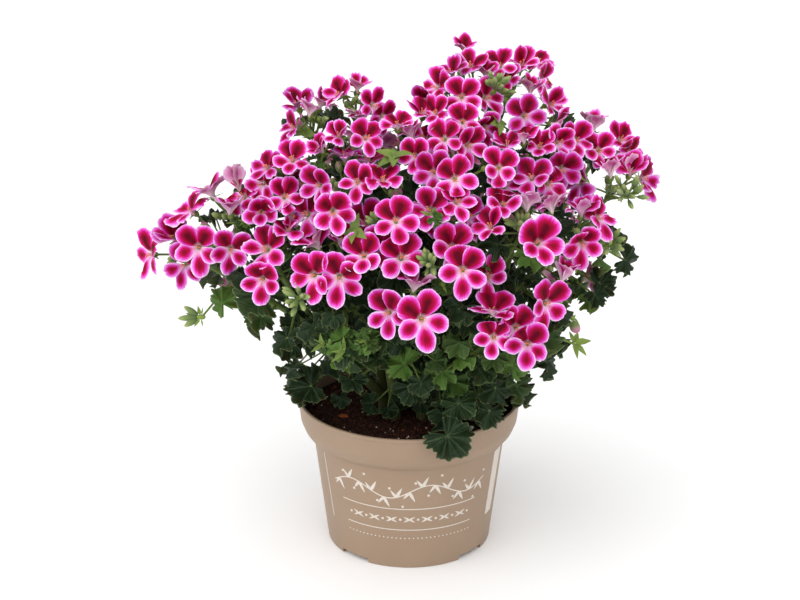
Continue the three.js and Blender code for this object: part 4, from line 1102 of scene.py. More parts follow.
def add_bud(surface, head, side, other, rng):
    """A bud on a stalk of its own, among the stalks of the blooms."""
    umbel, out = head["umbel"], head["out"]
    spoke = around(side, other, rng.uniform(0, 2 * math.pi))
    run = unit(out + spoke * rng.uniform(0.3, 0.8))
    far = rng.uniform(9, 17)
    base = umbel + run * far
    nearest = min(size(b["at"] - base) for b in head["blooms"])
    if nearest < BUD_ROOM or crosses_bloom(umbel, base + run * BUD_ROOM):
        return
    line = bend(umbel, base, out * far * 0.4, -run * far * 0.3, 5)
    surface.add_tube(line, BUD_STALK_RADIUS, 5, tone=0.3, age=0.1)
    tip = base + unit(run + UP * 0.1) * rng.uniform(6.5, 9)
    surface.add_spindle(base - run, tip, rng.uniform(1.9, 2.5), 7, 8, 1, tone=rng.uniform(0, 1))
    for lean in (side, other, -side, -other):
        add_small_leaf(
            surface, base - run + lean * 0.9, run + lean * 0.28, lean, 6.4, 3, -0.1, 0.6
        )


# Leaves.
def leaf_radius(a, teeth, rng):
    """How far a leaf's edge is from its stalk, at an angle from its tip: five lobes with teeth."""
    envelope = 0.79 + 0.21 * np.cos(a / 1.75)
    lobes = 1 - 0.19 * (0.5 - 0.5 * np.cos(2 * math.pi * a / LOBE_TURN)) ** 1.6
    depth = 0.22 * (0.75 + 0.5 * np.sin(a * 1.7 + rng.uniform(*PHASES)))
    notches = np.abs(np.cos(math.pi * a * teeth / LOBE_TURN)) ** 0.8 - 0.5
    sway = 0.05 * np.sin(2 * a + rng.uniform(*PHASES))
    return envelope * lobes * (1 + depth * notches + sway)


def leaf_sheets(kind):
    """The flat leaves of one kind, each with an edge of its own."""
    sheets = []
    for k in range(LEAF_KINDS):
        a = np.linspace(-LEAF_SPAN, LEAF_SPAN, kind["points"] - 1)
        r = leaf_radius(a, kind["teeth"], np.random.default_rng(kind["seed"] + k))
        outline = np.vstack([np.c_[r * np.cos(a), r * np.sin(a)], [[-0.1, 0.0]]])
        sheets.append(closed_sheet(outline, np.zeros(2), kind["rings"]))
    return sheets


BIG_LEAVES = leaf_sheets(BIG_LEAF)
SMALL_LEAVES = leaf_sheets(SMALL_LEAF)


def add_leaf_blade(surface, at, axes, reach, sheets, walls, rng, tone):
    """A fan-shaped leaf, pleated along its lobes, with a crisped edge and a paler underside."""
    flat, share, side, top, low = sheets[rng.integers(len(sheets))]
    far = np.linalg.norm(flat, axis=1)
    angle = np.arctan2(flat[:, 1], flat[:, 0])
    lobe = 2 * math.pi * angle / LOBE_TURN
    crisp = np.sin(lobe * 1.6 + rng.uniform(*PHASES))
    crisp += 0.6 * np.sin(lobe * 2.9 + rng.uniform(*PHASES))
    crisp = crisp * rng.uniform(*LEAF_CRISP) * share**2.2
    crinkle = 0.045 * np.sin(9 * flat[:, 0] + rng.uniform(*PHASES)) * np.sin(8 * flat[:, 1] + 1)
    curl, lean, valley = (rng.uniform(*limits) for limits in (LEAF_CURL, LEAF_LEAN, LEAF_VALLEY))
    height = crinkle + crisp - LEAF_PLEAT * far * np.cos(lobe) - curl * far**2
    height += lean * flat[:, 1] + valley * np.abs(flat[:, 1])
    world = keep_in(placed_by(np.c_[flat, height], at, axes, reach), at, walls, reach)
    world = world + axes[2] * (side * LEAF_THICKNESS / 2 * (1 - share**3))[:, None]
    values = {"depth": 1 - share, "ray": angle, "along": far, "tone": tone}
    surface.add_sheet(world, top, low, (0, 1), seed=rng.uniform(*SEEDS), **values)


def leaf_axes(face, tip, away):
    """The axes of a leaf that looks along face, but turned off its stalk, which goes away."""
    turn = max(0, LEAST_TURN + float(np.dot(away, face))) / (1 - LEAST_TURN)
    z = unit(face - away * turn)
    x = unit(tip - z * np.dot(tip, z))
    return x, np.cross(z, x), z


def add_sprig(wood, leaf, axes, reach, walls):
    """A sprig: pointed young leaves and buds that stand close together."""
    x, y, z = axes
    at, pink = leaf["at"], leaf["kind"] == "pink_sprig"
    rng = np.random.default_rng(int(abs(at[0] * 10)))

    def spoke(bearing):
        return around(x, y, math.radians(bearing + rng.uniform(-4, 4)))

    wood.add_spindle(at - x * 3, at + x * reach * 0.22, 1.9, 8, 6, tone=0.9)
    for bearing, long in [PINK_BUD] if pink else SPRIG_BUDS:
        run = spoke(bearing)
        base = at + run * reach * 0.2
        tip = base + (run + z * rng.uniform(-0.1, 0.25)) * reach * long * 0.8
        points, faces, along = spindle(base, tip, reach * (0.28 if pink else 0.115), 10, 9)
        points = keep_in(points, at, walls, reach)
        wood.add(points, faces, 1, along=along, tone=1 if pink else 0.1)
    for bearing, long, wide in SPRIG_LEAVES:
        run = spoke(bearing) + z * rng.uniform(-0.3, 0.4)
        add_small_leaf(wood, at + run * 2, run, z, reach * long, reach * wide, 0.15, 0.8)


def add_ovals(wood, leaf, reach):
    """A young leaf that is a fan of small oval ones."""
    at = leaf["at"]
    x, y, z = leaf_axes(leaf["face"], leaf["tip"], -leaf["face"])
    wood.add_spindle(at - z * 1.5, at + z * 1.5, 1.3, 7, 5, tone=0.8)
    for k, (bearing, long, wide) in enumerate(OVALS):
        run = around(x, y, math.radians(bearing)) + z * (0.12 - 0.18 * (k % 2))
        add_small_leaf(wood, at + run, run, z, reach * long, reach * wide, 0.2, 0.6 + 0.1 * k)


# Tufts of green between the heads.
def place_tufts():
    """Hangs each tuft on the branch nearest to it."""
    for across_px, down_px, set_back, reach, kind in TUFTS:
        at = front_bloom((across_px, down_px, set_back, 0, 0.5))["at"]
        joint, _, stem = nearest_joint(at, -8)
        out = unit(at - joint + TOWARD * 12 + UP * 8)
        stem["tufts"].append({"at": at, "joint": joint, "out": out, "reach": reach, "kind": kind})


def add_tuft(wood, green, tuft, rng):
    """A tuft of buds, of small leaves or of pointed bracts, on a stalk from its branch."""
    at, out, kind = tuft["at"], tuft["out"], tuft["kind"]
    side, other = spokes(out, UP + vec(0.3, 0.1, 0))
    line = bend(at - out * 2, tuft["joint"], -out * 5, unit(at - tuft["joint"]) * 6, 8)
    wood.add_tube(line, np.linspace(0.8, 1, 8), 6, tone=0.6)
    wood.add_spindle(at - out * 3.5, at + out * 1.5, 1.9, 7, 5, tone=0.8)
    for k in range(TUFT_PARTS[kind]):
        spoke = around(side, other, k * SPIRAL_TURN + rng.uniform(*SPIRAL_SWAY))
        run = unit(out * rng.uniform(0.1, 1) + spoke * rng.uniform(0.4, 1) - UP * 0.1)
        if kind == "buds":
            turns = [turn + k for turn in TUFT_SEPALS]
            leans = [around(side, other, turn) for turn in turns]
            add_tuft_bud(wood, tuft, run, spoke, leans, rng)
            continue
        long = tuft["reach"] * rng.uniform(0.35, 0.7) * (1.5 if kind == "bracts" else 1)
        if not crosses_bloom(at, at + run * long):
            wide = long * (0.95 if kind == "bracts" else 0.5)
            add_small_leaf(
                wood, at + run * 0.5, run, out, long, wide, 0.4, rng.uniform(0.2, 0.6)
            )
    if kind == "leaves":
        for turn in TUFT_BLADES:
            add_tuft_blade(green, tuft, around(side, other, turn), rng)


def add_tuft_bud(wood, tuft, run, spoke, leans, rng):
    """A bud of a tuft, on a stalk of its own, with its sepals."""
    at = tuft["at"]
    run = unit(run + UP * rng.uniform(0.2, 0.7) + spoke * rng.uniform(-0.3, 0.3))
    base = at + run * tuft["reach"] * rng.uniform(0.2, 0.7)
    if crosses_bloom(at, base + run * 8):
        return
    line = bend(at, base, tuft["out"] * 2, -run * 2, 4)
    wood.add_tube(line, BUD_STALK_RADIUS, 5, tone=0.7)
    tip = base + run * rng.uniform(6, 9.5)
    wood.add_spindle(base - run, tip, rng.uniform(1.4, 1.9), 7, 7, 1, tone=rng.uniform(0, 0.7))
    for lean in leans:
        way, long = run + lean * rng.uniform(0.2, 0.5), rng.uniform(5.5, 7.5)
        tone = rng.uniform(0.3, 0.8)
        add_small_leaf(wood, base - run * 0.6, way, lean, long, 2.1, -0.1, tone)


def add_tuft_blade(green, tuft, lean, rng):
    """A fan-shaped leaf of a tuft, unless it would go through a bloom."""
    at, out, reach = tuft["at"], tuft["out"], tuft["reach"]
    if crosses_bloom(at, at + lean * reach):
        return
    axes = leaf_axes(unit(out + lean * 0.5), lean, -out)
    foot = at + (lean * 0.3 + out * rng.uniform(-0.35, 0.2)) * reach
    tone = rng.uniform(0.4, 0.9)
    walls = soil_wall(at, 3)
    add_leaf_blade(green, foot, axes, reach * 0.52, SMALL_LEAVES, walls, rng, tone)


# Small leaves that fill the mound.
def in_clearing(at):
    """Whether a leaf here would hide the open soil or a gap that the front view shows."""
    across_px, down_px = pixel_of(at)
    return any(
        left < across_px < right and top < down_px < bottom
        for left, top, right, bottom in CLEARINGS
    )


def place_fillers(rng):
    """Places the leaves that fill the mound from inside, each on a stalk from the nearest stem."""
    faces = np.array([b["face"] for b in BLOOMS])
    taken = [b["at"] for b in blades if b["kind"] == "leaf"]
    most = len(taken) + FILLER_LEAVES
    for _ in range(FILLER_TRIES):
        if len(taken) >= most:
            break
        share = rng.uniform() ** 1.3
        height = FILLER_FOOT + (FILLER_TOP - FILLER_FOOT) * share
        wide = FILLER_WIDE[0] + (FILLER_WIDE[1] - FILLER_WIDE[0]) * min(1, share * 2.2)
        turn, out = rng.uniform(0, 2 * math.pi), math.sqrt(rng.uniform())
        at = on_circle(wide * out, turn, height) * FILLER_ROUND
        joint, gap, stem = nearest_joint(at, -6, LOW_JOINT)
        away = at - BLOOM_AT
        ahead = np.sum(away * faces, axis=1)
        aside = np.linalg.norm(away - ahead[:, None] * faces, axis=1)
        before = (ahead > -FACE_ROOM["behind"]) & (ahead < FACE_ROOM["before"])
        if not FILLER_GAP[0] < gap < FILLER_GAP[1] or (before & (aside < FACE_ROOM["aside"])).any():
            continue
        if min(size(at - t) for t in taken) < FILLER_ROOM or in_clearing(at):
            continue
        if at[2] < OVER_RIM["height"] and math.hypot(at[0], at[1]) > OVER_RIM["from_axis"]:
            continue
        taken.append(at)
        near = (aside < COVER["aside"]) & (ahead <= -COVER["near"]) & (ahead > -COVER["far"])
        down, deep = soil_wall(at, 3)
        walls = np.vstack([faces[near], down]), np.r_[-ahead[near] - COVER["gap"], deep]
        young = rng.uniform() < YOUNG_FILLER["chance"] and out > YOUNG_FILLER["from"]
        # Old leaves further in draw a lower tone, so they get less of the lighter green: painted
        # shade inside the mound, on top of a random tone.
        tone = rng.uniform(0.5, 0.9) if young else rng.uniform(0, 0.5) * out
        leaf = {"at": at, "joint": joint, "walls": walls, "way": unit(at - vec(0, 0, 150))}
        leaf.update(tone=tone, reach=rng.uniform(*FILLER_REACH))
        stem["fillers"].append(leaf)


def place_low_leaves():
    """Places the dark leaves that hang just over the open soil."""
    for across_px, down_px, forward, reach in LOW_LEAVES:
        at = at_pixel(across_px, down_px, forward)
        joint, _, stem = nearest_joint(at, 6)
        leaf = {"at": at, "joint": joint, "walls": soil_wall(at, 2), "tone": 0.15, "reach": reach}
        leaf["way"] = unit(TOWARD + UP * 0.5)
        stem["fillers"].append(leaf)


# Stems and heads, piece by piece.
def add_wood(wood, stem, rng):
    """A stem from below the soil up to its first head, and its other branches."""
    foot, collar, fork = stem["foot"], stem["collar"], stem["fork"]
    first, *others = stem["branches"]
    climb, end = fork - collar, first[1] - fork
    lower = bend(foot, collar, UP * 10, -UP * 6, 7)
    middle = bend(collar, fork, climb * 0.3 + UP * 4, -climb * 0.3, 9)[1:]
    upper = bend(fork, first[1], end * 0.33, -end * 0.33, 9)[1:]
    line = np.vstack([lower, middle, upper])
    places = np.arange(len(line))
    radii = np.interp(places, [0, 6, 14, 22], [STEM_RADIUS, 4.1, 2.9, BRANCH_RADIUS])
    points, faces, along = tube(line, radii * (1 + 0.05 * np.sin(1.9 * places)), 10)
    wood.add(points, faces, along=along, tone=0.2, age=np.clip(1 - along * 1.25, 0, 1))
    for start, tip in others:
        run = tip - start
        side = unit(np.cross(run, rng.normal(size=3))) * 2.5
        line = bend(start, tip, run * 0.33 + side, side - run * 0.33, 12)
        radii = np.linspace(BRANCH_RADIUS * 1.3, BRANCH_RADIUS * 0.9, 12)
        points, faces, along = tube(line, radii, 8)
        wood.add(points, faces, along=along, tone=rng.uniform(0, 0.5), age=0.35 * (1 - along))


def add_stalked_leaf(wood, green, leaf, rng):
    """A leaf, a fan of ovals or a sprig, and the curved stalk that carries it."""
    kind, stalk = leaf["kind"], leaf["stalk"]
    away = unit(stalk["b"] - stalk["a"])
    axes = leaf_axes(leaf["face"], leaf["tip"], away)
    reach, walls = BLADE_REACH[leaf["blade"]], walls_of(leaf["blade"])
    line = bend(leaf["at"], stalk["b"], -axes[2] * 4, -away * 6 + UP, 9)
    tone = 0.6 if kind == "dark" else 0.85
    wood.add_tube(line, np.linspace(0.75, 1.05, 9), 6, tone=tone, age=0.1)
    if kind.endswith("sprig"):
        add_sprig(wood, leaf, axes, reach, walls)
        return
    tone = rng.uniform(0, 0.45) if kind == "dark" else rng.uniform(0.75, 1)
    if kind == "ovals":
        add_ovals(wood, leaf, reach)
    else:
        add_leaf_blade(green, leaf["at"], axes, reach, BIG_LEAVES, walls, rng, tone)


def add_filler(wood, green, leaf, rng):
    """A small leaf inside the mound and its stalk."""
    at, joint = leaf["at"], leaf["joint"]
    run = unit(at - joint)
    face = unit(leaf["way"] * 0.8 + UP * 0.7 + rng.normal(size=3) * 0.35)
    axes = leaf_axes(face, run + rng.normal(size=3) * 0.3, -run)
    line = bend(at, joint, -axes[2] * 3, run * 3, 6)
    wood.add_tube(line, np.linspace(0.55, 0.8, 6), 5, tone=0.3, age=0.1)
    reach, walls, tone = leaf["reach"], leaf["walls"], leaf["tone"]
    add_leaf_blade(green, at, axes, reach, SMALL_LEAVES, walls, rng, tone)


def add_stem(number, stem):
    rng = np.random.default_rng(STARTS["stems"] + number)
    wood = Surface("along", "tone", "age")
    green = Surface("depth", "ray", "along", "tone", "seed")
    add_wood(wood, stem, rng)
    for leaf in stem["leaves"]:
        add_stalked_leaf(wood, green, leaf, rng)
    for leaf in stem["fillers"]:
        add_filler(wood, green, leaf, rng)
    for tuft in stem["tufts"]:
        add_tuft(wood, green, tuft, rng)
    name = stem["name"].replace("stem_", "")
    piece = wood.build("wood_" + name, ("stem", "bud"))
    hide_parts(stem["name"])
    leaves = green.build("leaves_" + name, ("leaf", "leaf_under"), 55)
    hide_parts(stem["name"])


def add_head(number, name, head):
    petals = Surface("depth", "along", "ray", "tone", "seed")
    for bloom in head["blooms"]:
        add_petals(petals, bloom)
    piece = petals.build("petals_" + name, ("petal_upper", "petal_lower", "petal_back", "stamen"))
    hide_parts("head_" + name)
    greens = Surface("along", "tone", "age")
    add_head_greens(greens, head, np.random.default_rng(STARTS["greens"] + number))
    piece = greens.build("stalks_" + name, ("stem", "bud"))
    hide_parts("head_" + name)


# Materials.
def colour(code):
    """A linear colour from a hex code."""
    parts = [int(code[i:i + 2], 16) / 255 for i in (0, 2, 4)]
    return [p / 12.92 if p <= 0.04045 else ((p + 0.055) / 1.055) ** 2.4 for p in parts] + [1]


class Shade:
    """A material's nodes, made one call at a time."""

    def __init__(self, name):
        self.material = bpy.data.materials.new(name)
        self.material.use_nodes = True
        self.nodes = self.material.node_tree.nodes
        self.links = self.material.node_tree.links
        self.shader = self.nodes["Principled BSDF"]

    def put(self, socket, value):
        if hasattr(value, "is_output"):
            self.links.new(value, socket)
        else:
            socket.default_value = value

    def put_all(self, sockets, values):
        for socket, value in zip(sockets, values):
            self.put(socket, value)

    def field(self, name):
        node = self.nodes.new("ShaderNodeAttribute")
        node.attribute_name = name
        return node.outputs["Fac"]

    def place(self):
        return self.nodes.new("ShaderNodeTexCoord").outputs["Object"]

    def math(self, kind, a, b=0.0, c=0.0):
        node = self.nodes.new("ShaderNodeMath")
        node.operation = kind
        self.put_all(node.inputs, (a, b, c))
        return node.outputs[0]

    def times(self, a, b):
        return self.math("MULTIPLY", a, b)

    def sway(self, value, share, base):
        """The base, raised or lowered by a share of how far the value is from a half."""
        return self.math("MULTIPLY_ADD", self.math("SUBTRACT", value, 0.5), share, base)

    def off_whole(self, value):
        """How far a value is from the nearest whole number."""
        return self.math("ABSOLUTE", self.math("SUBTRACT", value, self.math("ROUND", value)))

    def fade(self, value, start, end):
        """One where the value is below start, none where it is above end."""
        node = self.nodes.new("ShaderNodeMapRange")
        names = ("Value", "From Min", "From Max", "To Min", "To Max")
        self.put_all([node.inputs[name] for name in names], (value, start, end, 1, 0))
        return node.outputs["Result"]

    def vector(self, x, y, z):
        node = self.nodes.new("ShaderNodeCombineXYZ")
        self.put_all(node.inputs, (x, y, z))
        return node.outputs[0]

    def noise(self, where, scale, detail=2.0, rough=0.5):
        node = self.nodes.new("ShaderNodeTexNoise")
        names = ("Vector", "Scale", "Detail", "Roughness")
        self.put_all([node.inputs[name] for name in names], (where, scale, detail, rough))
        return node.outputs["Fac"]

    def ramp(self, value, stops):
        node = self.nodes.new("ShaderNodeValToRGB")
        self.put(node.inputs["Fac"], value)
        bar = node.color_ramp.elements
        while len(bar) < len(stops):
            bar.new(0.5)
        for stop, (at, code) in zip(bar, stops):
            stop.position = at
            stop.color = colour(code) if isinstance(code, str) else [code, code, code, 1]
        return node.outputs["Color"]

    def mix(self, share, a, b, kind="MIX"):
        """A blend of two colours, each a socket or a hex code."""
        node = self.nodes.new("ShaderNodeMix")
        node.data_type = "RGBA"
        node.blend_type = kind
        self.put(node.inputs["Factor"], share)
        values = [colour(v) if isinstance(v, str) else v for v in (a, b)]
        self.put_all([s for s in node.inputs if s.type == "RGBA"], values)
        return node.outputs[2]

    def bump(self, height, strength, distance):
        node = self.nodes.new("ShaderNodeBump")
        names = ("Strength", "Distance", "Height")
        self.put_all([node.inputs[name] for name in names], (strength, distance, height))
        self.put(self.shader.inputs["Normal"], node.outputs["Normal"])

    def finish(self, **values):
        for name, value in values.items():
            self.put(self.shader.inputs[name.replace("_", " ")], value)
        return self.material


# Colours of a petal by how far they are from its edge.
UPPER_PETAL = [
    (0.0, "FBE0F8"), (0.03, "F6BCEE"), (0.08, "EE8EDE"), (0.16, "E25CC6"), (0.26, "D232A0"),
    (0.37, "BE1068"), (0.5, "A20638"), (0.68, "820228"), (0.88, "58001A"),
]
LOWER_PETAL = [
    (0.0, "FDE8FA"), (0.05, "F8C8F2"), (0.13, "F29EE4"), (0.25, "E66ACE"), (0.38, "D63AA6"),
    (0.5, "C0126A"), (0.66, "A60638"), (0.85, "820228"),
]
PETAL_BACK = [(0.0, "FBE2F4"), (0.1, "F2C4E4"), (0.38, "E29AC6"), (0.8, "C4609C")]
THROAT = "F2DAE2"
# The mauve that low-tone blooms are multiplied by: painted shade.
PAINTED_SHADE_MAUVE = "C8A2CC"


def petal(name, stops, throat, vein_share):
    """A petal: rings of colour that follow its edge, fine veins from its base, a pale throat, and a
    mauve painted shade over blooms of low tone.
    """
    s = Shade(name)
    ray, along, seed = s.field("ray"), s.field("along"), s.field("seed")
    fine = s.noise(s.vector(s.times(ray, 26.0), along, seed), 1.0, 3.0)
    broad = s.noise(s.vector(s.times(ray, 3.0), s.times(along, 3.0), seed), 1.0)
    lift = s.sway(fine, vein_share, s.field("depth"))
    lift = s.sway(broad, 0.16, lift)
    lift = s.sway(s.field("tone"), 0.08, lift)
    hue = s.mix(s.fade(s.sway(fine, 0.3, along), *throat), s.ramp(lift, stops), THROAT)
    # Low tone multiplies in the mauve. This is painted shade: the tone is partly random for each
    # bloom and partly lowered for the innermost ones.
    painted_shade = s.ramp(s.field("tone"), [(0.0, 0.7), (0.3, 0.0)])
    hue = s.mix(painted_shade, hue, PAINTED_SHADE_MAUVE, "MULTIPLY")
    s.bump(fine, 0.25, 0.0006)
    return s.finish(
        Base_Color=hue, Roughness=0.6, Subsurface_Weight=0.1, Subsurface_Scale=0.001,
        Specular_IOR_Level=0.08,
    )


def leaf(name, dark, middle, young, vein):
    """A leaf: veins along its lobes, uneven greens, and a lighter green where it is young."""
    s = Shade(name)
    ray, along, seed = s.field("ray"), s.field("along"), s.field("seed")
    near = s.off_whole(s.times(ray, 1 / LOBE_TURN))
    main = s.ramp(s.times(near, along), [(0.0, 1.0), (0.012, 0.6), (0.035, 0.0)])
    slant = s.math("SUBTRACT", s.times(along, 7.0), s.times(near, 8.0))
    branch = s.ramp(s.off_whole(slant), [(0.0, 0.5), (0.06, 0.25), (0.16, 0.0)])
    veins = s.math("MAXIMUM", main, branch)
    patches = s.noise(s.vector(ray, s.times(along, 3.0), seed), 3.0, 4.0, 0.6)
    green = s.mix(patches, dark, middle)
    green = s.mix(s.ramp(s.field("tone"), [(0.25, 0.0), (0.95, 1.0)]), green, young)
    green = s.mix(s.times(veins, 0.18), green, vein)
    green = s.mix(s.ramp(s.field("depth"), [(0.0, 0.5), (0.06, 0.0)]), green, vein)
    cells = s.noise(s.place(), 900.0, 3.0, 0.6)
    s.bump(s.math("MULTIPLY_ADD", veins, -0.6, s.times(cells, 0.5)), 0.5, 0.0007)
    return s.finish(
        Base_Color=green, Roughness=0.46, Subsurface_Weight=0.04, Subsurface_Scale=0.002,
        Specular_IOR_Level=0.16,
    )


def stem_material():
    """Green to brown skin, streaked along the stem, woody where it is old."""
    s = Shade("stem_skin")
    grain = s.noise(s.place(), 420.0, 4.0, 0.6)
    streak = s.noise(s.vector(s.times(s.field("along"), 7.0), s.field("tone"), 0.0), 3.0)
    green = s.mix(s.field("tone"), "42682C", "86A844")
    green = s.mix(s.times(streak, 0.35), green, "9A8A4A")
    wood = s.mix(s.field("age"), green, "3E3020")
    wood = s.mix(s.times(grain, 0.3), wood, "2C3A1A")
    s.bump(grain, 0.35, 0.0004)
    return s.finish(
        Base_Color=wood, Roughness=0.6, Sheen_Weight=0.08, Sheen_Roughness=0.5,
        Subsurface_Weight=0.05, Subsurface_Scale=0.001, Specular_IOR_Level=0.25,
    )


def bud_material():
    """A hairy bud, green or with a pink tip."""
    s = Shade("bud_skin")
    along = s.field("along")
    green = s.ramp(along, [(0.0, "46602A"), (0.55, "6E843E"), (1.0, "98A45E")])
    pink = s.ramp(along, [(0.35, "6E843E"), (0.65, "B47E8E"), (1.0, "B04080")])
    hue = s.mix(s.ramp(s.field("tone"), [(0.72, 0.0), (0.82, 1.0)]), green, pink)
    s.bump(s.noise(s.place(), 700.0, 3.0), 0.3, 0.0003)
    return s.finish(
        Base_Color=hue, Roughness=0.6, Sheen_Weight=0.3, Subsurface_Weight=0.08,
        Subsurface_Scale=0.001,
    )


def stamen_material():
    s = Shade("stamen_skin")
    hue = s.ramp(s.field("depth"), [(0.2, "E9A79A"), (0.6, "D9622E")])
    hue = s.mix(s.times(s.noise(s.place(), 2600.0, 2.0), 0.3), hue, "F2C8A0")
    return s.finish(Base_Color=hue, Roughness=0.6)


def pot_material():
    """Moulded taupe plastic: a fine grain, faint turning lines and clouds of a lighter tone."""
    s = Shade("pot_plastic")
    place = s.place()
    grain = s.noise(place, 1500.0, 3.0, 0.6)
    cloud = s.noise(place, 26.0, 3.0, 0.6)
    hue = s.mix(cloud, "977F69", "A08973")
    hue = s.mix(s.times(grain, 0.12), hue, "7E6B58")
    split = s.nodes.new("ShaderNodeSeparateXYZ")
    s.put(split.inputs[0], place)
    rings = s.math("SINE", s.times(split.outputs["Z"], 5200.0))
    s.bump(s.math("MULTIPLY_ADD", rings, 0.12, grain), 0.22, 0.0003)
    return s.finish(
        Base_Color=hue, Roughness=s.math("MULTIPLY_ADD", cloud, 0.12, 0.44),
        Specular_IOR_Level=0.4, Subsurface_Weight=0.04, Subsurface_Scale=0.002,
    )


def print_material():
    """Pale print, worn through in specks."""
    s = Shade("pot_paint")
    wear = s.noise(s.place(), 900.0, 4.0, 0.7)
    hue = s.mix(s.ramp(wear, [(0.35, 0.35), (0.55, 0.0)]), "D9D0C6", "A8937E")
    s.bump(wear, 0.15, 0.0002)
    return s.finish(Base_Color=hue, Roughness=0.5)


def soil_material():
    s = Shade("soil_mix")
    place = s.place()
    crumbs = s.noise(place, 420.0, 6.0, 0.7)
    patch = s.noise(place, 60.0, 3.0, 0.6)
    hue = s.ramp(crumbs, [(0.35, "26140E"), (0.52, "40221A"), (0.66, "5E3626"), (0.82, "845236")])
    hue = s.mix(s.times(patch, 0.5), hue, "120A07")
    s.bump(crumbs, 0.9, 0.0025)
    return s.finish(Base_Color=hue, Roughness=0.95, Specular_IOR_Level=0.2)


def crumb_material(name, low, high):
    s = Shade(name)
    grain = s.noise(s.place(), 800.0, 4.0, 0.7)
    s.bump(grain, 0.7, 0.001)
    return s.finish(Base_Color=s.mix(grain, low, high), Roughness=0.9, Specular_IOR_Level=0.25)


MATERIALS = {
    "petal_upper": petal("petal_upper", UPPER_PETAL, (-0.02, 0.16), 0.3),
    "petal_lower": petal("petal_lower", LOWER_PETAL, (0.0, 0.32), 0.36),
    "petal_back": petal("petal_back", PETAL_BACK, (0.05, 0.5), 0.3),
    "stamen": stamen_material(),
    "leaf": leaf("leaf_top", "0C160E", "2A4026", "587A34", "869C66"),
    "leaf_under": leaf("leaf_under", "243222", "3C4E30", "648042", "869A68"),
    "stem": stem_material(),
    "bud": bud_material(),
    "pot": pot_material(),
    "print": print_material(),
    "soil": soil_material(),
    "bark": crumb_material("soil_bark", "6E341A", "AC5E2C"),
    "peat": crumb_material("soil_peat", "1A0D09", "4E2C1C"),
    "perlite": crumb_material("soil_perlite", "A89C88", "D8D0C0"),
}


# The pot.
def lathe(profile, sides):
    """A turned mesh from a profile of (radius, height) that starts and ends on the axis."""
    turns = circle(sides)
    inner = profile[1:-1]
    rings = [np.c_[r * np.cos(turns), r * np.sin(turns), np.full(sides, z)] for r, z in inner]
    points = np.vstack(rings + [[[0, 0, profile[0][1]]], [[0, 0, profile[-1][1]]]])
    return points, tube_faces(len(inner), sides)


def rounded(profile, radius, steps=4):
    """A profile with its inner corners rounded off."""
    points = [np.array(p, float) for p in profile]
    result = [points[0]]
    for before, corner, after in zip(points, points[1:], points[2:]):
        reach = min(radius, 0.4 * size(before - corner), 0.4 * size(after - corner))
        a = corner + unit(before - corner) * reach
        b = corner + unit(after - corner) * reach
        for t in np.linspace(0, 1, steps):
            result.append((1 - t) ** 2 * a + 2 * t * (1 - t) * corner + t**2 * b)
    result.append(points[-1])
    return [tuple(p) for p in result]


POT_OUTSIDE = [
    (0, 0), (39, 0), (41, FLOOR_RAISE), (55, FLOOR_RAISE), (57, 0), (FOOT_RADIUS, 0),
    (BODY_TOP_RADIUS, BAND_FOOT_Z - 1), (76, BAND_FOOT_Z + 0.6), (80.2, 92.6),
    (BAND_RADIUS, BAND_MIDDLE_Z), (RIM_RADIUS - 0.3, 113), (RIM_RADIUS - 0.3, 114.4),
    (RIM_RADIUS + 0.5, 114.8), (RIM_RADIUS + 0.5, POT_HEIGHT), (RIM_RADIUS - 2, POT_HEIGHT),
]
POT_INSIDE = [
    (RIM_RADIUS - 2, 112), (BAND_RADIUS - WALL, BAND_MIDDLE_Z), (78.6, 93.6),
    (BODY_TOP_RADIUS - WALL, BAND_FOOT_Z), (FOOT_RADIUS - WALL + 0.6, 6), (39.6, 6), (38, 2),
    (0, 2),
]
POT_SHARP = 32
BOX_FACES = [
    (0, 2, 1), (0, 3, 2), (4, 5, 6), (4, 6, 7), (0, 1, 5), (0, 5, 4), (1, 2, 6), (1, 6, 5),
    (2, 3, 7), (2, 7, 6), (3, 0, 4), (3, 4, 7),
]


def cut(piece, points, faces):
    """Cuts a closed shape out of a mesh for good."""
    mesh = bpy.data.meshes.new("cutter")
    mesh.from_pydata((np.asarray(points) * MM).tolist(), [], np.asarray(faces).tolist())
    cutter = bpy.data.objects.new("cutter", mesh)
    bpy.context.scene.collection.objects.link(cutter)
    step = piece.modifiers.new("cut", "BOOLEAN")
    step.object = cutter
    step.operation = "DIFFERENCE"
    step.solver = "EXACT"
    graph = bpy.context.evaluated_depsgraph_get()
    made = bpy.data.meshes.new_from_object(piece.evaluated_get(graph))
    piece.modifiers.clear()
    piece.data = made
    bpy.data.objects.remove(cutter)


def make_pot():
    """The turned shell with its drain holes and the slots in its foot."""
    surface = Surface()
    surface.add(*lathe(rounded(POT_OUTSIDE + POT_INSIDE, POT_CORNER), POT_SIDES))
    pot = surface.build("pot_shell", ("pot",), POT_SHARP)
    for k in range(DRAIN_HOLES):
        low = on_circle(DRAIN_FROM_AXIS, (k + 0.5) * 2 * math.pi / DRAIN_HOLES, 1)
        points, faces, _ = tube([low, low + UP * 2 * FLOOR_RAISE], DRAIN_RADIUS, 20)
        cut(pot, points, faces)
    near, far = SLOT_FROM_AXIS
    half = SLOT_WIDTH / 2
    corners = [(near, -half), (far, -half), (far, half), (near, half)]
    for k in range(FOOT_SLOTS):
        turn = (k + SLOT_TURN) * 2 * math.pi / FOOT_SLOTS
        out, side = on_circle(1, turn, 0), on_circle(1, turn + math.pi / 2, 0)
        heights = (-FLOOR_RAISE, FLOOR_RAISE)
        points = [out * p + side * q + UP * z for z in heights for p, q in corners]
        cut(pot, points, BOX_FACES)
    pot.data.shade_smooth()
    pot.data.set_sharp_from_angle(angle=math.radians(POT_SHARP))
    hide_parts("pot")


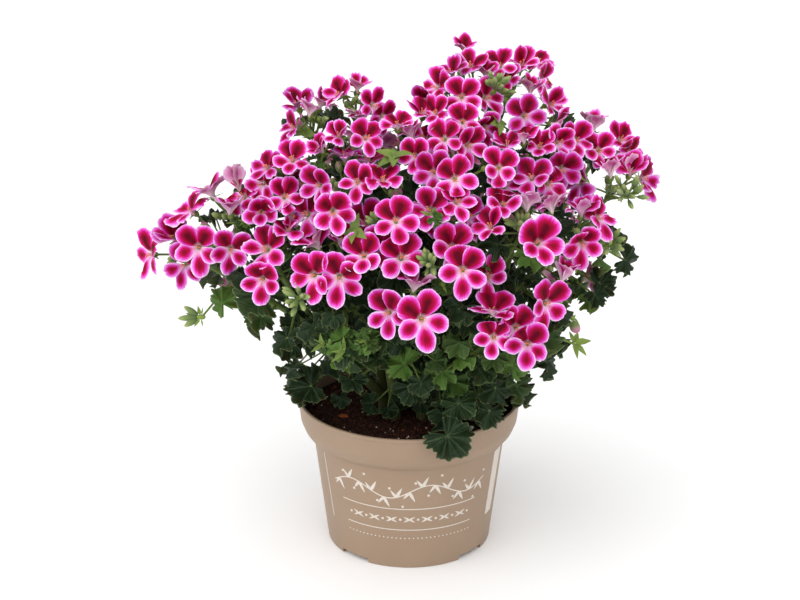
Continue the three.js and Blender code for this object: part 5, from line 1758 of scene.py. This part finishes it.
# The print on the pot: pale curved rules, with a plain garland of leaves and dots.
PRINT_PROUD = 0.12
PRINT_SINK = 0.3
PRINT_RADIUS = 69
RULES = {"heights": (53, 34.5), "halves": (55, 52), "width": 0.7, "points": 50}
GARLAND = {"height": 68, "swing": 5.5, "half": 62, "step": 9.5, "width": 0.9, "leaves": 6}
DOT_RADIUS = 1
MIDDLE_ROW = {"height": 43.8, "step": 6.8, "each_side": 7}
LOW_ROW = {"height": 27, "step": 3.4, "each_side": 15, "radius": 0.55}
SEAM = {"across": (-74, -71.5), "height": (84, 30), "width": 0.8}
BLANK_STRIP = [(73, 30), (84, 30), (87, 84), (75, 84)]


def on_pot(flat, proud):
    """Points of the pot's front, by their way round from the middle and their height."""
    across, height = flat[:, 0], flat[:, 1]
    slope = (BODY_TOP_RADIUS - FOOT_RADIUS) / (BAND_FOOT_Z - 1)
    radius = FOOT_RADIUS + slope * height + proud
    turn = across / PRINT_RADIUS - math.pi / 2
    return np.c_[radius * np.cos(turn), radius * np.sin(turn), height]


def add_print(surface, flat, faces, edge):
    """A printed figure, a little thick, from its flat points, triangles and edge."""
    base, after = len(flat), np.roll(edge, -1)
    walls = [np.c_[after, edge, edge + base], np.c_[after, edge + base, after + base]]
    points = np.vstack([on_pot(flat, PRINT_PROUD), on_pot(flat, -PRINT_SINK)])
    surface.add(points, np.vstack([faces, faces[:, ::-1] + base] + walls))


def add_patch(surface, outline):
    """A flat shape printed on the pot, from its outline as (across, height)."""
    outline = np.array(outline, float)
    edge = np.arange(len(outline))
    flat = np.vstack([outline, outline.mean(axis=0)])
    add_print(surface, flat, fan(edge, len(outline)), edge)


def add_line(surface, across, height, width):
    """A printed line of even width."""
    line = np.c_[across, np.broadcast_to(height, len(across))]
    run = unit_rows(np.gradient(line, axis=0))
    side = np.c_[-run[:, 1], run[:, 0]] * width / 2
    count = len(line)
    i = np.arange(count - 1)
    faces = np.vstack([np.c_[i, i + count, i + 1], np.c_[i + 1, i + count, i + count + 1]])
    edge = np.r_[np.arange(count)[::-1], np.arange(count, 2 * count)]
    add_print(surface, np.vstack([line + side, line - side]), faces, edge)


def add_dot(surface, across, height, radius=DOT_RADIUS):
    turns = np.linspace(0, 2 * math.pi, 14, endpoint=False)
    add_patch(surface, np.c_[across + radius * np.cos(turns), height + radius * np.sin(turns)])


def add_print_leaf(surface, across, height, turn, long, wide):
    flat = narrow_leaf(14) * (long, wide)
    add_patch(surface, turned(flat[:, 0], flat[:, 1], turn) + (across, height))


def wave_height(across):
    """How high the garland's line runs."""
    return GARLAND["height"] + GARLAND["swing"] * np.sin(across / GARLAND["step"])


def make_print():
    """The rules, the garland, the two rows of small figures, the seam and the blank strip."""
    surface = Surface()
    for height, half in zip(RULES["heights"], RULES["halves"]):
        add_line(surface, np.linspace(-half, half, RULES["points"]), height, RULES["width"])
    across = np.linspace(-GARLAND["half"], GARLAND["half"], 90)
    add_line(surface, across, wave_height(across), GARLAND["width"])
    for k in range(-GARLAND["leaves"], GARLAND["leaves"] + 1):
        middle = k * GARLAND["step"]
        height = wave_height(middle)
        rise = 1 if k % 2 else -1
        add_print_leaf(surface, middle, height, rise * 1.1, 9.5, 3.6)
        add_print_leaf(surface, middle, height, rise * 2.2, 7.5, 3.2)
        add_dot(surface, middle + 4.6, height - rise * 8)
    for k in range(-MIDDLE_ROW["each_side"], MIDDLE_ROW["each_side"] + 1):
        middle, height = k * MIDDLE_ROW["step"], MIDDLE_ROW["height"]
        if k % 2:
            add_dot(surface, middle, height)
        else:
            for turn in (0.5, math.pi - 0.5, -0.5, math.pi + 0.5):
                add_print_leaf(surface, middle, height, turn, 5, 2.2)
    for k in range(-LOW_ROW["each_side"], LOW_ROW["each_side"] + 1):
        add_dot(surface, k * LOW_ROW["step"], LOW_ROW["height"], LOW_ROW["radius"])
    across, height = np.linspace(*SEAM["across"], 30), np.linspace(*SEAM["height"], 30)
    add_line(surface, across, height, SEAM["width"])
    edge = []
    for a, b in zip(BLANK_STRIP, BLANK_STRIP[1:] + BLANK_STRIP[:1]):
        edge += list(np.linspace(a, b, 9)[:-1])
    add_patch(surface, edge)
    piece = surface.build("pot_print", ("print",), 30)


# The soil: a crumbly surface with bark, fibres and perlite on it.
SOIL_SHARP = 50
SOIL_PROFILE = [
    (0, 6.4), (61, 6.4), (71.6, 87.4), (77.8, 93.8), (81.2, BAND_MIDDLE_Z),
    (81.4, SOIL_LEVEL - 1),
]
SOIL_ROUGH = (-0.7, 0.9)
SOIL_DOME = {"height": 2, "radius": 62}
SOIL_WAVES = {"height": 0.8, "end": 82, "run": 20}
CRUMBS_FROM_AXIS = 79
# Crumbs as (material, how many, least and largest radius, shape): bark, peat, perlite, fibres.
CRUMBS = [
    (1, 46, 0.8, 2.6, (1, 0.5, 0.35)),
    (2, 1500, 0.6, 2.4, (1, 0.75, 0.65)),
    (3, 120, 0.5, 1.2, (1, 0.9, 0.9)),
    (2, 160, 2, 5, (1, 0.1, 0.1)),
]
# The large bark chip near the front left of the soil.
CHIP = {"mat": 1, "radius": 6.5, "shape": (1, 0.42, 0.3), "at": (-51, -14), "turn": 2.4}
SIGNS = [(x, y, z) for x in (1, -1) for y in (1, -1) for z in (1, -1)]


def soil_height(x, y):
    """The height of the soil's surface: slightly domed, with low waves away from the wall."""
    r = np.hypot(x, y)
    dome = SOIL_DOME["height"] * (1 - np.clip(r / SOIL_DOME["radius"], 0, 1))
    waves = np.sin(x * 0.21 + 1.3) * np.sin(y * 0.24 + 0.6)
    waves = waves + 0.6 * np.sin(x * 0.53) * np.sin(y * 0.47)
    waves = waves * np.clip((SOIL_WAVES["end"] - r) / SOIL_WAVES["run"], 0, 1)
    return SOIL_LEVEL + dome + SOIL_WAVES["height"] * waves


def crumb_faces():
    """Triangles of a lump with six corners on the axes and eight between them."""
    faces = []
    for number, signs in enumerate(SIGNS):
        ends = [2 * k + (signs[k] < 0) for k in range(3)]
        if signs[0] * signs[1] * signs[2] < 0:
            ends.reverse()
        faces += [(ends[k], ends[(k + 1) % 3], 6 + number) for k in range(3)]
    return np.array(faces)


CRUMB_FACES = crumb_faces()
ENDS = np.vstack([np.eye(3)[k] * sign for k in range(3) for sign in (1, -1)])
CRUMB_CORNERS = np.vstack([ENDS, unit_rows(np.array(SIGNS, float))])


def add_crumb(surface, rng, mat, radius, shape, at=None, turn=None):
    """A lump that lies on the soil, anywhere unless its place is given."""
    if at is None:
        bearing = rng.uniform(0, 2 * math.pi)
        far = CRUMBS_FROM_AXIS * math.sqrt(rng.uniform(0.01, 1))
        at = on_circle(far, bearing, 0)[:2]
    corners = CRUMB_CORNERS * rng.uniform(0.75, 1.1, (14, 1)) * shape * radius
    first, second = (turn or rng.uniform(*PHASES) for _ in range(2))
    c, s = math.cos(first), math.sin(second)
    spin = np.array([(c, -s, 0), (s, c, 0), (0, 0, 1)])
    tilt = rng.uniform(-0.4, 0.4)
    c, s = math.cos(tilt), math.sin(tilt)
    lean = np.array([(c, 0, -s), (0, 1, 0), (s, 0, c)])
    height = float(soil_height(*at)) + radius * shape[2] * 0.35 + 0.3
    surface.add(corners @ lean @ spin.T + vec(*at, height), CRUMB_FACES, mat)


def make_soil():
    """The body of the soil with a rough top, and the crumbs on it."""
    rng = np.random.default_rng(STARTS["soil"])
    surface = Surface()
    tops = [(r, SOIL_LEVEL) for r in np.linspace(80, 2, 40)]
    points, faces = lathe(SOIL_PROFILE + tops + [(0, SOIL_LEVEL + 2)], SOIL_SIDES)
    above = points[:, 2] >= SOIL_LEVEL
    rough = rng.uniform(*SOIL_ROUGH, len(points))
    points[above, 2] = soil_height(points[above, 0], points[above, 1]) + rough[above]
    surface.add(points, faces)
    for mat, count, least, largest, shape in CRUMBS:
        for _ in range(count):
            add_crumb(surface, rng, mat, rng.uniform(least, largest), shape)
    add_crumb(surface, rng, **CHIP)
    piece = surface.build("soil_mix", ("soil", "bark", "peat", "perlite"), SOIL_SHARP)
    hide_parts("soil")


# Everything, in its place.
place_tufts()
place_fillers(np.random.default_rng(STARTS["fillers"]))
place_low_leaves()
for number, stem in enumerate(stems):
    add_stem(number, stem)
for number, (name, head) in enumerate(heads.items()):
    add_head(number, name, head)
make_pot()
make_print()
make_soil()


# The studio: a plain pale floor, soft light and the photo's view.
FLOOR_HALF = 30
# Lights as (where each comes from, how far it spreads in degrees, its power).
LIGHTS = {
    "key": ((-0.3, -0.62, 1.0), 80, 1.75),
    "fill": ((0.5, -0.9, 0.4), 90, 0.78),
    "side": ((-0.9, -0.3, 0.35), 60, 0.6),
    "back": ((0.1, 0.9, 0.8), 90, 0.7),
}
WORLD_POWER = 0.5
SENSOR_WIDTH = 36
FARTHEST_SEEN = 100


def make_floor():
    s = Shade("studio_white")
    hue = s.mix(s.noise(s.place(), 3.0, 2.0), "FAFAFA", "FDFDFD")
    material = s.finish(Base_Color=hue, Roughness=0.9, Specular_IOR_Level=0.1)
    corners = [(x * FLOOR_HALF, y * FLOOR_HALF, 0) for x, y in ((-1, -1), (1, -1), (1, 1), (-1, 1))]
    mesh = bpy.data.meshes.new("floor")
    mesh.from_pydata(corners, [], [(0, 1, 2, 3)])
    mesh.materials.append(material)
    floor = bpy.data.objects.new("floor", mesh)
    bpy.context.scene.collection.objects.link(floor)


def make_light(name, place, spread_degrees, power):
    """A soft light from far away on the side of place."""
    lamp = bpy.data.lights.new(name, "SUN")
    lamp.angle = math.radians(spread_degrees)
    lamp.energy = power
    light = bpy.data.objects.new(name, lamp)
    light.rotation_mode = "QUATERNION"
    light.rotation_quaternion = Vector(place).to_track_quat("Z", "Y")
    bpy.context.scene.collection.objects.link(light)


def make_camera():
    """A camera that sees the scene as the front view does."""
    camera = bpy.data.cameras.new("camera")
    camera.sensor_width = SENSOR_WIDTH
    camera.lens = FOCAL_PX / FRAME_WIDTH_PX * SENSOR_WIDTH
    camera.clip_end = FARTHEST_SEEN
    eye = bpy.data.objects.new("camera", camera)
    aside = (FRAME_WIDTH_PX / 2 - AXIS_ACROSS_PX) * DISTANCE / FOCAL_PX
    eye.location = (vec(aside, 0, AIM_HEIGHT) + TOWARD * DISTANCE) * MM
    eye.rotation_euler = (math.pi / 2 - PITCH, 0, 0)
    bpy.context.scene.collection.objects.link(eye)
    bpy.context.scene.camera = eye


make_floor()
for name, (place, spread_degrees, power) in LIGHTS.items():
    make_light(name, place, spread_degrees, power)
make_camera()

world = bpy.data.worlds.new("studio")
world.use_nodes = True
world.node_tree.nodes["Background"].inputs["Color"].default_value = (1, 1, 1, 1)
world.node_tree.nodes["Background"].inputs["Strength"].default_value = WORLD_POWER
bpy.context.scene.world = world
bpy.context.scene.view_settings.view_transform = "Standard"
